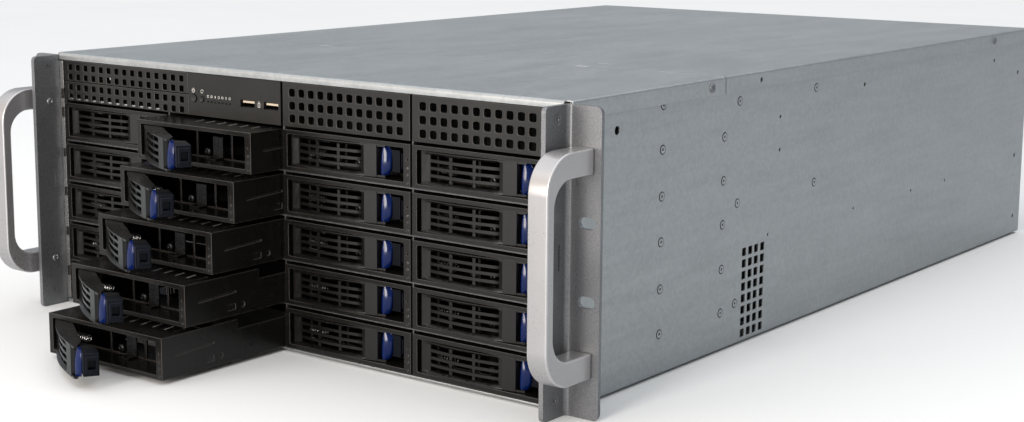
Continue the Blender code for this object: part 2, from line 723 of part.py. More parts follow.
def fan_wall():
    """Cross wall that carries three fan frames, each with a motor mount on four arms."""
    def wall(mesh):
        add_box(mesh, (-INNER_HALF, FAN_WALL_Y - SHEET, INNER_LOW), (INNER_HALF, FAN_WALL_Y, WALL_TOP - GAP))

    def frames(mesh):
        for index in range(FAN_COUNT):
            centre = fan_centre(index)
            add_box(mesh, (centre - FAN_FRAME / 2, FAN_WALL_Y - SHEET / 2, FAN_CENTRE_Z - FAN_FRAME / 2),
                    (centre + FAN_FRAME / 2, FAN_WALL_Y + FAN_DEPTH, FAN_CENTRE_Z + FAN_FRAME / 2))

    def bores(mesh):
        for index in range(FAN_COUNT):
            add_cylinder(mesh, (fan_centre(index), FAN_WALL_Y + FAN_DEPTH / 2, FAN_CENTRE_Z), FAN_BORE,
                         FAN_DEPTH + 0.010, "Y", 24)

    def arms(mesh, half_x, half_z):
        rear = FAN_WALL_Y + FAN_DEPTH
        for index in range(FAN_COUNT):
            centre = fan_centre(index)
            add_box(mesh, (centre - half_x, rear - FAN_ARM, FAN_CENTRE_Z - half_z),
                    (centre + half_x, rear, FAN_CENTRE_Z + half_z))

    def level_arms(mesh):
        arms(mesh, FAN_BORE + GAP, FAN_ARM_HALF)

    def upright_arms(mesh):
        arms(mesh, FAN_ARM_HALF, FAN_BORE + GAP)

    item = place("fan_wall", make_mesh("fan_wall", wall), "cage_steel")
    boolean(item, "UNION", frames, "frames")
    boolean(item, "DIFFERENCE", bores, "bores")
    boolean(item, "UNION", level_arms, "level_arms")
    boolean(item, "UNION", upright_arms, "upright_arms")


def fan_rotor_mesh():
    """Hub with twisted blades. Its origin is on the spin axis, which runs along Y."""
    root = FAN_HUB - 0.002
    span = FAN_BLADE_TIP - root

    def hub(mesh):
        add_cylinder(mesh, (0, 0, 0), FAN_HUB, FAN_HUB_DEPTH, "Y", 28)

    def blades(mesh):
        for index in range(FAN_BLADES):
            blade = bmesh.ops.create_cube(mesh, size=1.0)["verts"]
            shape = Matrix.Diagonal((span, FAN_BLADE_THICKNESS, FAN_BLADE_CHORD, 1.0))
            pitch = Matrix.Rotation(-FAN_BLADE_TWIST, 4, "X")
            out = Matrix.Translation((root + span / 2, 0, 0))
            spin = Matrix.Rotation(2 * math.pi * index / FAN_BLADES, 4, "Y")
            bmesh.ops.transform(mesh, matrix=spin @ out @ pitch @ shape, verts=blade)

    item = place("rotor_form", make_mesh("rotor_form", hub), "fan_plastic")
    boolean(item, "UNION", blades, "blades")
    return baked(item)


def fan_rotors():
    rotor = fan_rotor_mesh()
    for index in range(FAN_COUNT):
        centre = (fan_centre(index), FAN_ROTOR_Y, FAN_CENTRE_Z)
        place(f"fan_rotor_{index + 1}", rotor, "fan_plastic", centre)


def main():
    clear_scene()
    chassis_base()
    front_top_cover()
    rear_top_cover()
    rear_panel()
    for side, word in ((-1, "left"), (1, "right")):
        ear(f"{word}_ear", side)
        handle(f"{word}_handle", side)
    drive_cage()
    drive_trays()
    backplane()
    for name, layout in GRILLES.items():
        grille(name, *layout)
    control_panel()
    for name in BUTTONS:
        button(name)
    fan_wall()
    fan_rotors()


main()
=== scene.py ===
"""Looks of the four-unit storage enclosure: detailed pieces, finishes, floor, lights and camera.

Shapes are written in millimetres and scaled to metres when they are finished.
"""
import math

import bmesh
import bpy
from mathutils import Matrix, Vector


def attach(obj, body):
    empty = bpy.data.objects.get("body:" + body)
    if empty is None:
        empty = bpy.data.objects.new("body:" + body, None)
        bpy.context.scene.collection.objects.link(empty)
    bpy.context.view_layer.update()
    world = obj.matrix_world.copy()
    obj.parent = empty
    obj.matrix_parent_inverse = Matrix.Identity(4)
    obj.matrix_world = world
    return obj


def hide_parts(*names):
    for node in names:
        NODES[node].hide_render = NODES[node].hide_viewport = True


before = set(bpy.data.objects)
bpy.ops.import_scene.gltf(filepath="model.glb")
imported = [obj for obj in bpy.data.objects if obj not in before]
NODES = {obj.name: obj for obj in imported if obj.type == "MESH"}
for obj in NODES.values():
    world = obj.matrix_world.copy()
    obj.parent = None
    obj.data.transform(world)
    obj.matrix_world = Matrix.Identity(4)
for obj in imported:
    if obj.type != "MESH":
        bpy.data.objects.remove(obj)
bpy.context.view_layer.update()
MM = 0.001
SIDES = (-1, 1)

# ---- sizes shared with the frame, in millimetres ----
FRONT = -340.0
REAR = 340.0
WALL = 219.0
WALL_INNER = 217.8
SHEET = 1.2
WALL_TOP = 175.0
LID_TOP = 176.3
LID_SHEET = 1.0
COVER_OUTER = 220.3
COVER_INNER = 219.3
COVER_LOW = 165.5
WALL_FRONT = FRONT + 2.8
SEAM = FRONT + 167.4
COVER_REAR = REAR + 2.0
COLUMN_PITCH = 105.85
ROW_PITCH = 28.6
ROW_BASE = 1.6
TRAY_HALF = 52.05
TRAY_HEIGHT = 25.7
TRAY_LENGTH = 184.4
TRAY_MIDDLE = TRAY_HEIGHT / 2
PIVOT = (-44.4, 5.0)
OPEN_COLUMN = 2
OPEN_TURN = -33.0
EXTENSION = {1: 26.5, 2: 41.5, 3: 60.5, 4: 83.0, 5: 102.0}
FAN_PITCH = 140.0
FAN_X = [(index - 1) * FAN_PITCH for index in range(3)]
FAN_Z = 86.5
FAN_ROTOR_Y = -89.5
FAN_WALL_FRONT = -101.2
BOARD_REAR = -146.4
COLUMNS = range(1, 5)
ROWS = range(1, 6)

# For each axis: the two directions across it, and its own.
AXES = {"X": ((0, 1, 0), (0, 0, 1), (1, 0, 0)),
        "Y": ((1, 0, 0), (0, 0, 1), (0, 1, 0)),
        "Z": ((1, 0, 0), (0, 1, 0), (0, 0, 1))}


# ---- solids ----
def box(bm, x0, x1, y0, y1, z0, z1):
    """Add a closed box."""
    centre = ((x0 + x1) / 2, (y0 + y1) / 2, (z0 + z1) / 2)
    size = Matrix.Diagonal((abs(x1 - x0), abs(y1 - y0), abs(z1 - z0), 1.0))
    bmesh.ops.create_cube(bm, size=1.0, matrix=Matrix.Translation(centre) @ size)


def boxes(*spans):
    """Builder of closed boxes."""
    def build(bm):
        for span in spans:
            box(bm, *span)
    return build


def loft(bm, sections, ring=False):
    """Skin closed sections of equal length into a solid, capped unless it closes on itself."""
    rows = [[bm.verts.new(point) for point in section] for section in sections]
    count = len(rows[0])
    pairs = list(zip(rows, rows[1:]))
    if ring:
        pairs.append((rows[-1], rows[0]))
    for low, high in pairs:
        for i in range(count):
            j = (i + 1) % count
            bm.faces.new((low[i], low[j], high[j], high[i]))
    if not ring:
        bm.faces.new(rows[0][::-1])
        bm.faces.new(rows[-1])


def prism(bm, outline, vector):
    """Add an outline of 3-D points extruded along a vector."""
    move = Vector(vector)
    loft(bm, [outline, [Vector(point) + move for point in outline]])


def flat(outline, axis, at):
    """Put an outline of pairs in the plane across an axis."""
    where = "XYZ".index(axis)
    return [(*pair[:where], at, *pair[where:]) for pair in outline]


def slab(bm, outline, axis, at, depth):
    """Add an outline of pairs extruded along an axis."""
    prism(bm, flat(outline, axis, at), Vector(AXES[axis][2]) * depth)


def slabs(*rows):
    """Builder of slabs: each row is an outline, an axis, a place along it and a depth."""
    def build(bm):
        for row in rows:
            slab(bm, *row)
    return build


def frame_between(bm, outer, inner, front, rear):
    """Add the frame between two outlines of pairs, from one place along Y to another."""
    sides = ((front, outer), (rear, outer), (rear, inner), (front, inner))
    loft(bm, [flat(outline, "Y", y) for y, outline in sides], ring=True)


def spokes(axis, sides):
    """Unit vectors round an axis, and the axis itself."""
    across, up, along = (Vector(way) for way in AXES[axis])
    angles = [2 * math.pi * i / sides for i in range(sides)]
    return [across * math.cos(angle) + up * math.sin(angle) for angle in angles], along


def turned(bm, centre, axis, profile, sides=20):
    """Add a turned solid: the profile is (radius, distance along the axis) pairs."""
    ways, along = spokes(axis, sides)
    loft(bm, [[Vector(centre) + along * height + way * radius for way in ways] for radius, height in profile])


def rod(bm, centre, radius, length, axis, sides=20):
    """Add a straight round rod centred on a point."""
    turned(bm, centre, axis, [(radius, -length / 2), (radius, length / 2)], sides)


def wire_ring(bm, centre, axis, radius, thickness, sides, around):
    """Add a round wire ring."""
    ways, along = spokes(axis, sides)
    sections = []
    for way in ways:
        section = []
        for j in range(around):
            turn = 2 * math.pi * j / around
            offset = way * (radius + thickness * math.cos(turn)) + along * thickness * math.sin(turn)
            section.append(Vector(centre) + offset)
        sections.append(section)
    loft(bm, sections, ring=True)


def arc(centre, radius, start, end, steps):
    """Points of an arc in a plane, in degrees, both ends included."""
    points = []
    for step in range(steps + 1):
        angle = math.radians(start + (end - start) * step / steps)
        points.append((centre[0] + radius * math.cos(angle), centre[1] + radius * math.sin(angle)))
    return points


def rounded(x0, x1, z0, z1, radius, steps=4):
    """Outline of a rectangle with rounded corners, as pairs."""
    corners = ((x1 - radius, z0 + radius), (x1 - radius, z1 - radius),
               (x0 + radius, z1 - radius), (x0 + radius, z0 + radius))
    points = []
    for quarter, corner in enumerate(corners):
        points += arc(corner, radius, 90 * quarter - 90, 90 * quarter, steps)
    return points


def rounded_at(x, z, half_x, half_z, radius, steps):
    """Outline of a rounded rectangle about a centre, as pairs."""
    return rounded(x - half_x, x + half_x, z - half_z, z + half_z, radius, steps)


def mirrored(outline, side):
    """Outline of pairs on the right (1) or on the left (-1)."""
    return [(side * x, other) for x, other in outline]


def make(build):
    """Run a builder on an empty mesh and return a temporary object."""
    bm = bmesh.new()
    build(bm)
    bmesh.ops.recalc_face_normals(bm, faces=bm.faces)
    data = bpy.data.meshes.new("form")
    bm.to_mesh(data)
    bm.free()
    data.materials.append(None)
    data.materials.append(None)
    item = bpy.data.objects.new("form", data)
    bpy.context.scene.collection.objects.link(item)
    return item


def settle(item):
    """Apply an object's modifiers to its own mesh."""
    bpy.context.view_layer.update()
    evaluated = item.evaluated_get(bpy.context.evaluated_depsgraph_get())
    data = bpy.data.meshes.new_from_object(evaluated)
    item.modifiers.clear()
    old = item.data
    item.data = data
    bpy.data.meshes.remove(old)


def shaped(solid, joined=(), cuts=()):
    """Make a solid, join closed shapes to it, then cut others from it, one builder at a time."""
    item = make(solid)
    steps = [("UNION", build) for build in joined] + [("DIFFERENCE", build) for build in cuts]
    for operation, build in steps:
        tool = make(build)
        modifier = item.modifiers.new("combine", "BOOLEAN")
        modifier.operation = operation
        modifier.solver = "EXACT"
        modifier.object = tool
        settle(item)
        data = tool.data
        bpy.data.objects.remove(tool, do_unlink=True)
        bpy.data.meshes.remove(data)
    return item


def finished(item, bevel=0.3, segments=2, angle=40):
    """Soften the edges, smooth the shading, scale to metres and return the mesh."""
    if bevel:
        modifier = item.modifiers.new("edge", "BEVEL")
        modifier.width = bevel
        modifier.segments = segments
        modifier.limit_method = "ANGLE"
        modifier.angle_limit = math.radians(angle)
        # The bevel faces take the second material, the lighter copy that paints a highlight on the edges.
        modifier.material = 1
        settle(item)
    data = item.data
    data.transform(Matrix.Diagonal((MM, MM, MM, 1.0)))
    shade(data)
    bpy.data.objects.remove(item, do_unlink=True)
    return data


def shade(data, limit=52.0):
    """Give every corner the area-weighted normal of the faces that meet it at less than the limit."""
    data.polygons.foreach_set("use_smooth", [True] * len(data.polygons))
    closest = math.cos(math.radians(limit))
    meeting = [[] for _ in data.vertices]
    faces = [(polygon.normal.copy(), polygon.area) for polygon in data.polygons]
    for index, polygon in enumerate(data.polygons):
        for vertex in polygon.vertices:
            meeting[vertex].append(index)
    normals = [None] * len(data.loops)
    for index, polygon in enumerate(data.polygons):
        own = faces[index][0]
        for loop, vertex in zip(polygon.loop_indices, polygon.vertices):
            total = Vector((0, 0, 0))
            for other in meeting[vertex]:
                normal, area = faces[other]
                if normal.dot(own) > closest:
                    total += normal * area
            normals[loop] = total.normalized() if total.length > 0 else own
    data.normals_split_custom_set(normals)


def linked(name, data):
    """Put an object in the scene."""
    item = bpy.data.objects.new(name, data)
    bpy.context.scene.collection.objects.link(item)
    return item


def place(name, data, material, body, slot, replaces=(), at=(0, 0, 0), turn=0.0):
    """Put a mesh in the scene as one piece that rides on a body. The place is in millimetres."""
    item = linked(name, data)
    item.location = [value * MM for value in at]
    item.rotation_euler = (0, 0, math.radians(turn))
    if data.materials[0] is None:
        for index in range(len(data.materials)):
            data.materials[index] = material[min(index, 1)]
    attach(item, body)
    if replaces:
        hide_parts(*replaces)


def fixed(name, build, material, slot, bevel=0, segments=1):
    """Add a simple piece that stays on the chassis."""
    place(name, finished(make(build), bevel, segments), material, "chassis", slot)


# ---- finishes ----
def feed(tree, socket, value):
    """Link a node's output to a socket, or set a constant. A colour is given without its alpha."""
    if isinstance(value, bpy.types.NodeSocket):
        tree.links.new(value, socket)
    else:
        socket.default_value = (*value, 1.0) if socket.type == "RGBA" else value


def node(tree, kind, inputs, **settings):
    """Add a node with its settings and inputs."""
    made = tree.nodes.new(kind)
    for key, value in settings.items():
        setattr(made, key, value)
    for key, value in inputs.items():
        feed(tree, made.inputs[key], value)
    return made


def mixed(tree, share, first, second):
    """Mix two colours. The numbers are the mix node's factor and its two colour inputs."""
    return node(tree, "ShaderNodeMix", {0: share, 6: first, 7: second}, data_type="RGBA").outputs[2]


class Finish:
    """A node material under construction."""

    def __init__(self, name, **sockets):
        self.material = bpy.data.materials.new(name)
        self.material.use_nodes = True
        self.tree = self.material.node_tree
        self.shader = self.tree.nodes["Principled BSDF"]
        for key, value in sockets.items():
            self.shader.inputs[key.replace("_", " ")].default_value = value
        self.place = self.tree.nodes.new("ShaderNodeTexCoord").outputs["Object"]

    def pattern(self, kind, output, inputs, **settings):
        """Add a texture that is laid out in the object's own space."""
        return node(self.tree, kind, {"Vector": self.place, **inputs}, **settings).outputs[output]

    def link(self, source, key):
        self.tree.links.new(source, self.shader.inputs[key])

    def noise(self, scale, detail=3.0, rough=0.55, vector=None):
        inputs = {"Vector": vector or self.place, "Scale": scale, "Detail": detail, "Roughness": rough}
        return self.pattern("ShaderNodeTexNoise", "Fac", inputs)

    def ramp(self, fac, stops):
        made = node(self.tree, "ShaderNodeValToRGB", {"Fac": fac})
        elements = made.color_ramp.elements
        while len(elements) < len(stops):
            elements.new(0.5)
        for element, (position, colour) in zip(elements, stops):
            element.position = position
            element.color = (*colour, 1.0)
        return made.outputs["Color"]

    def grey(self, fac, low, high, start=0.3, end=0.7):
        return self.ramp(fac, [(start, (low,) * 3), (end, (high,) * 3)])

    def mix(self, share, first, second):
        return mixed(self.tree, share, first, second)

    def spread(self, fac, low, high, start=0.3, end=0.7):
        inputs = {"Value": fac, "From Min": start, "From Max": end, "To Min": low, "To Max": high}
        return node(self.tree, "ShaderNodeMapRange", inputs).outputs["Result"]

    def bump(self, height, strength, distance):
        inputs = {"Height": height, "Strength": strength, "Distance": distance}
        self.link(node(self.tree, "ShaderNodeBump", inputs).outputs["Normal"], "Normal")

    def mottled(self, fine, clouds, share, dark, light):
        """Colour the surface by a fine pattern mixed with a broad one, and return the mix."""
        tone = self.mix(share, self.grey(fine, 0.2, 0.8), self.grey(clouds, 0.2, 0.8))
        self.link(self.ramp(tone, [(0.3, dark), (0.7, light)]), "Base Color")
        return tone


def lighter(colour, factor):
    return tuple(min(1.0, value * factor) for value in colour)


ZINC_SHADES = ((0.36, (0.405, 0.425, 0.432)), (0.50, (0.470, 0.489, 0.496)), (0.64, (0.535, 0.553, 0.560)))


def galvanised_steel(name, tint=1.0):
    """Zinc-coated sheet: fine spangle, soft clouding and faint rolling streaks."""
    made = Finish(name, Metallic=0.85)
    cells = made.pattern("ShaderNodeTexVoronoi", "Color", {"Scale": 420.0})
    spangle = node(made.tree, "ShaderNodeSeparateColor", {"Color": cells}).outputs[0]
    clouds = made.noise(7.0, 4.0, 0.6)
    fine = made.noise(900.0, 2.0)
    streaked = made.pattern("ShaderNodeMapping", "Vector", {"Scale": (1.0, 0.22, 2.2)})
    streaks = made.noise(60.0, 3.0, 0.6, streaked)
    tone = made.mix(0.35, made.grey(clouds, 0.42, 0.58, 0.35, 0.65), made.grey(spangle, 0.18, 0.82, 0.0, 1.0))
    tone = made.mix(0.25, tone, made.grey(fine, 0.3, 0.7))
    tone = made.mix(0.30, tone, made.grey(streaks, 0.3, 0.7))
    shades = [(position, lighter(shade, tint)) for position, shade in ZINC_SHADES]
    made.link(made.ramp(tone, shades), "Base Color")
    made.link(made.spread(tone, 0.33, 0.45), "Roughness")
    made.bump(fine, 0.08, 0.0003)
    return made.material


def metal(name, dark, light, roughness, grain=900.0, metallic=0.9):
    """Bare or plated metal with fine even grain and soft clouding."""
    made = Finish(name, Metallic=metallic)
    fine = made.noise(grain, 3.0, 0.6)
    tone = made.mottled(fine, made.noise(24.0, 3.0, 0.5), 0.4, dark, light)
    made.link(made.spread(tone, *roughness), "Roughness")
    made.bump(fine, 0.04, 0.0002)
    return made.material


def plastic(name, dark, light, roughness, texture=1500.0, relief=0.22, gloss=0.5):
    """Moulded plastic with spark-eroded texture and slight shading."""
    made = Finish(name, Specular_IOR_Level=gloss)
    pebbles = made.noise(texture, 2.0, 0.6)
    clouds = made.noise(30.0, 3.0, 0.6)
    made.mottled(pebbles, clouds, 0.5, dark, light)
    made.link(made.spread(clouds, *roughness), "Roughness")
    made.bump(pebbles, relief, 0.0003)
    return made.material


def circuit_board():
    """Solder-masked board with faint tracks and a woven core."""
    made = Finish("circuit_board_finish", Coat_Weight=0.3)
    weave = made.pattern("ShaderNodeTexBrick", "Fac", {"Scale": 260.0, "Mortar Size": 0.03})
    tracks = made.pattern("ShaderNodeTexWave", "Fac", {"Scale": 90.0, "Distortion": 2.5, "Detail": 1.0},
                          bands_direction="Z")
    base = made.ramp(tracks, [(0.45, (0.010, 0.055, 0.028)), (0.55, (0.016, 0.085, 0.042))])
    made.link(made.mix(made.spread(weave, 0.0, 0.25, 0.0, 1.0), base, (0.02, 0.12, 0.06)), "Base Color")
    made.link(made.spread(made.noise(60.0), 0.28, 0.45), "Roughness")
    made.bump(tracks, 0.15, 0.0002)
    return made.material


def with_lit_edges(kind, name, dark, light, *rest, edge=1.25, **more):
    """A finish, and a lighter copy of it for the bevelled edges: a painted highlight where edges catch the
    light.
    """
    return (kind(f"{name}_finish", dark, light, *rest, **more),
            kind(f"{name}_edge_highlight", lighter(dark, edge), lighter(light, edge), *rest, **more))


# The second, lighter copy of each finish goes on bevelled edges as a painted highlight.
STEEL = (galvanised_steel("galvanised_steel_finish"), galvanised_steel("galvanised_steel_edge_highlight", 1.15))
EAR_STEEL = with_lit_edges(metal, "ear_steel", (0.175, 0.180, 0.190), (0.285, 0.289, 0.300), (0.32, 0.42),
                 metallic=0.66)
ALUMINIUM = with_lit_edges(metal, "handle_aluminium", (0.465, 0.455, 0.462), (0.515, 0.505, 0.512), (0.27, 0.33),
                 1300.0, 0.68)
# Near-black steel for rivet seats, tray brackets and hubs, and socket linings: painted shade in gaps, inside
# the trays and inside the sockets.
SHADE_DARKENED_STEEL = with_lit_edges(metal, "shade_darkened_steel", (0.035, 0.035, 0.037), (0.07, 0.07, 0.073), (0.22, 0.35))
ZINC = with_lit_edges(metal, "bright_steel", (0.50, 0.50, 0.49), (0.68, 0.67, 0.66), (0.18, 0.30), 1200.0)
# Dark cage steel: the cage is galvanised, and most of this darkness is painted shade from inside the bays.
SHADE_DARKENED_CAGE = with_lit_edges(metal, "cage_steel", (0.10, 0.10, 0.105), (0.17, 0.17, 0.175), (0.38, 0.52), 400.0, 0.8)
# edge=16 makes the bevelled edges of the black plastic far lighter: a painted highlight.
PLASTIC = with_lit_edges(plastic, "bay_plastic", (0.0036, 0.0032, 0.0029), (0.0062, 0.0055, 0.0050), (0.24, 0.32),
               relief=0.06, edge=16.0)
PANEL = with_lit_edges(plastic, "panel_plastic", (0.0060, 0.0052, 0.0046), (0.0100, 0.0087, 0.0078), (0.28, 0.36),
             relief=0.10, edge=5.0)
BLUE = with_lit_edges(plastic, "release_blue", (0.0006, 0.0058, 0.046), (0.0012, 0.0105, 0.080), (0.07, 0.12),
            900.0, 0.0, 0.38, edge=2.0)
# Latch plastic darkened to near black: partly its own dark navy grey, partly painted shade in the closed
# lever's mouth. The indicator lenses use it too.
SHADE_DARKENED_LATCH = with_lit_edges(plastic, "latch_grey", (0.0018, 0.0024, 0.0045), (0.0036, 0.0045, 0.0080), (0.28, 0.38),
             1200.0, 0.06, 0.15, edge=2.0)
FAN = with_lit_edges(plastic, "fan_plastic", (0.010, 0.010, 0.011), (0.020, 0.020, 0.022), (0.35, 0.5), edge=3.0)
BUTTON = with_lit_edges(plastic, "button_plastic", (0.010, 0.010, 0.011), (0.02, 0.02, 0.021), (0.25, 0.35), edge=3.0)
PRINT = with_lit_edges(plastic, "print_white", (0.60, 0.58, 0.54), (0.78, 0.76, 0.72), (0.5, 0.65),
             800.0, 0.05, edge=1.1)
# Pale grey for the louvre lips: a painted highlight on the roof slots.
LOUVRE_HIGHLIGHT_PLASTIC = with_lit_edges(plastic, "louvre_highlight_plastic", (0.26, 0.25, 0.24), (0.42, 0.40, 0.38), (0.3, 0.4),
                800.0, 0.05, edge=1.1)
CREAM = with_lit_edges(plastic, "socket_core", (0.50, 0.42, 0.32), (0.62, 0.53, 0.42), (0.35, 0.5),
             800.0, 0.05, edge=1.1)
BOARD = (circuit_board(),)


# ---- steel case ----
VENT_Y = (FRONT + 199.1, FRONT + 207.1, FRONT + 214.8, FRONT + 223.0)
VENT_Z = [5.7 + 7.7 * row for row in range(8)]
VENT_HALF = 2.7
# Distance from the front, height and radius of each small hole in the sides.
SMALL_HOLES = ((242.3, 143.7, 1.2), (242.7, 121.5, 1.2), (366.4, 154.5, 1.5), (606.4, 154.0, 1.6),
               (659.9, 140.2, 1.8), (662.1, 68.7, 1.8), (665.5, 15.4, 1.8), (229.9, 66.4, 1.1),
               (355.8, 66.1, 1.1), (453.0, 65.9, 1.1), (516.0, 65.9, 1.1))
RIVET_PLACES = ([(97.5, z) for z in (165.0, 138.2, 109.9, 82.1, 53.2, 25.3)]
                + [(170.0, z) for z in (138.0, 110.1, 81.8, 53.0, 24.5)]
                + [(188.0, z) for z in (159.0, 93.3, 27.5)]
                + [(291.8, 158.7), (292.9, 93.3)])
FRONT_SCREW = (151.2, 170.5)
REAR_SCREW = (601.1, 170.7)
LIP_SCREWS_X = (-150, 0, 150)
LIP_SCREWS_Z = 170.4
MARKS_X = (-115, 115)


def chassis_shell():
    """Folded base: rounded bends, front lip, feet, raised marks, side vents and fixing holes."""
    bend = 1.6
    inner = bend - SHEET
    section = arc((-WALL + bend, bend), bend, 180, 270, 5) + arc((WALL - bend, bend), bend, 270, 360, 5)
    section += [(WALL, WALL_TOP), (WALL_INNER, WALL_TOP)]
    section += arc((WALL_INNER - inner, SHEET + inner), inner, 0, -90, 3)
    section += arc((-WALL_INNER + inner, SHEET + inner), inner, -90, -180, 3)
    section += [(-WALL_INNER, WALL_TOP), (-WALL, WALL_TOP)]
    shell = slabs((section, "Y", WALL_FRONT, REAR - WALL_FRONT))
    lip = boxes((-215, 215, FRONT, WALL_FRONT + 10, 0, SHEET))
    mark = rounded(FRONT + 234.0, FRONT + 248.0, 125.2, 140.0, 1.5, 4)
    raised = slabs(*[(mark, "X", side * (WALL - 0.4), side * 0.7) for side in SIDES])

    def feet(bm):
        for x in (-190, 190):
            for y in (-310, 310):
                turned(bm, (x, y, 0), "Z", [(6.2, -1.5), (7.4, -1.1), (8.0, 0.0), (8.0, 0.6)], 32)

    def holes(bm):
        for side in SIDES:
            wall = side * WALL
            for y in VENT_Y:
                for z in VENT_Z:
                    slab(bm, rounded_at(y, z, VENT_HALF, VENT_HALF, 0.6, 2), "X", wall - 4, 8)
            for offset, z, radius in SMALL_HOLES:
                rod(bm, (wall, FRONT + offset, z), radius, 8, "X", 14)
            rod(bm, (wall, FRONT + 48.6, 154.9), 2.6, 8, "X", 24)

    data = finished(shaped(shell, (lip, feet, raised), (holes,)), 0.2, 1)
    place("chassis_shell", data, STEEL, "chassis", "galvanised_steel", ["chassis_base"])


def cover_shell(front, rear, bend=1.7):
    """Builder of a cover with two rounded bends and side lips."""
    inner = bend - LID_SHEET
    outline = [(COVER_OUTER, COVER_LOW)] + arc((COVER_OUTER - bend, LID_TOP - bend), bend, 0, 90, 6)
    outline += arc((-COVER_OUTER + bend, LID_TOP - bend), bend, 90, 180, 6)
    outline += [(-COVER_OUTER, COVER_LOW), (-COVER_INNER, COVER_LOW)]
    outline += arc((-COVER_INNER + inner, LID_TOP - LID_SHEET - inner), inner, 180, 90, 4)
    outline += arc((COVER_INNER - inner, LID_TOP - LID_SHEET - inner), inner, 90, 0, 4)
    return slabs((outline + [(COVER_INNER, COVER_LOW)], "Y", front, rear - front))


def seam_marks(bm, low, high):
    for x in MARKS_X:
        slab(bm, rounded(x - 5, x + 5, SEAM + low, SEAM + high, 1.2, 3), "Z", LID_TOP - 0.5, 2)


def covers():
    """Front cover with a folded front lip, and the sliding rear cover."""
    bend = 2.2
    low = LID_TOP - 4.7
    fold = [(FRONT + 1, low), (FRONT, low)] + arc((FRONT + bend, LID_TOP - bend), bend, 180, 90, 8)
    fold += [(WALL_FRONT + 10, LID_TOP), (WALL_FRONT + 10, LID_TOP - 1)]
    fold += arc((FRONT + bend, LID_TOP - bend), bend - 1, 90, 180, 6)

    def dimples(bm):
        for x in (-206, -75, 57, 186):
            turned(bm, (x, FRONT + 17, LID_TOP), "Z", [(2.2, -0.6), (3.4, 0.0), (3.8, 0.6)], 24)
        seam_marks(bm, -7, -4.4)

    front_fold = slabs((fold, "X", -215.7, 431.4))
    data = finished(shaped(cover_shell(WALL_FRONT, SEAM), (front_fold,), (dimples,)), 0.18, 1)
    place("front_cover", data, STEEL, "chassis", "galvanised_steel", ["front_top_cover"])

    def marks(bm):
        seam_marks(bm, 16, 18.6)
        for side in SIDES:
            rod(bm, (side * 220, FRONT + 212.8, 170.5), 1.7, 6, "X", 16)
        for x in LIP_SCREWS_X:
            rod(bm, (x, COVER_REAR, LIP_SCREWS_Z), 2.0, 6, "Y", 16)

    rear_lip = boxes((-219.8, 219.8, COVER_REAR - LID_SHEET, COVER_REAR, COVER_LOW, LID_TOP - 0.5))
    data = finished(shaped(cover_shell(SEAM + 0.6, COVER_REAR), (rear_lip,), (marks,)), 0.18, 1)
    place("rear_cover_shell", data, STEEL, "rear_cover", "galvanised_steel", ["rear_top_cover"])


def screw_head(bm, centre, axis, out, radius=2.9, rise=1.2):
    """Pan head: a stepped dome with a sunken middle."""
    profile = [(radius, 0), (radius, rise * 0.35), (radius * 0.88, rise * 0.75), (radius * 0.62, rise),
               (radius * 0.34, rise), (radius * 0.22, rise * 0.45)]
    turned(bm, centre, axis, [(r, out * h) for r, h in profile], 24)


def side_screws(bm, offset, z):
    for side in SIDES:
        screw_head(bm, (side * 220.25, FRONT + offset, z), "X", side)


def fasteners():
    """Rivets and screws of the case, grouped by the body that carries them."""
    def riveted(profile):
        def build(bm):
            for side in SIDES:
                for offset, z in RIVET_PLACES:
                    centre = (side * WALL, FRONT + offset, z)
                    turned(bm, centre, "X", [(r, side * h) for r, h in profile], 20)
        return build

    def front_screws(bm):
        side_screws(bm, *FRONT_SCREW)

    def rear_screws(bm):
        side_screws(bm, *REAR_SCREW)
        for x in LIP_SCREWS_X:
            screw_head(bm, (x, REAR + 1.95, LIP_SCREWS_Z), "Y", 1)

    def panel_screws(bm):
        for x in (-212, 212, 45.5, -100, -18):
            for z in ((100.0, 163.0) if x != 45.5 else (8.0, 97.5)):
                screw_head(bm, (x, REAR - 0.05, z), "Y", 1, 2.6, 1.0)

    # The dark seat ring round each rivet is a painted shadow of the gap at its rim.
    fixed("case_rivet_seats", riveted([(3.1, -0.4), (3.1, 0.06), (2.0, 0.09)]), SHADE_DARKENED_STEEL, "bright_steel")
    domes = riveted([(2.45, -0.4), (2.45, 0.25), (2.05, 0.34), (1.1, 0.34), (0.85, 0.02)])
    fixed("case_rivets", domes, STEEL, "bright_steel")
    fixed("front_cover_screws", front_screws, EAR_STEEL, "bright_steel")
    place("rear_cover_screws", finished(make(rear_screws), 0), EAR_STEEL, "rear_cover", "bright_steel")
    fixed("rear_panel_screws", panel_screws, EAR_STEEL, "bright_steel")


# ---- ears and handles ----
EAR_TOP = 174.7
EAR_LOW = -1.5
EAR_EDGE = 241.3
EAR_RADIUS = 4.0
PLATE_FRONT = FRONT - 21.0
PLATE_RADIUS = 3.0
PLATE_SCREWS_Z = (9.0, 167.0)
PLATE_HOLES_Z = (32.0, 143.0)
HANDLE_X = 230.1
HANDLE_WIDTH = 13.4


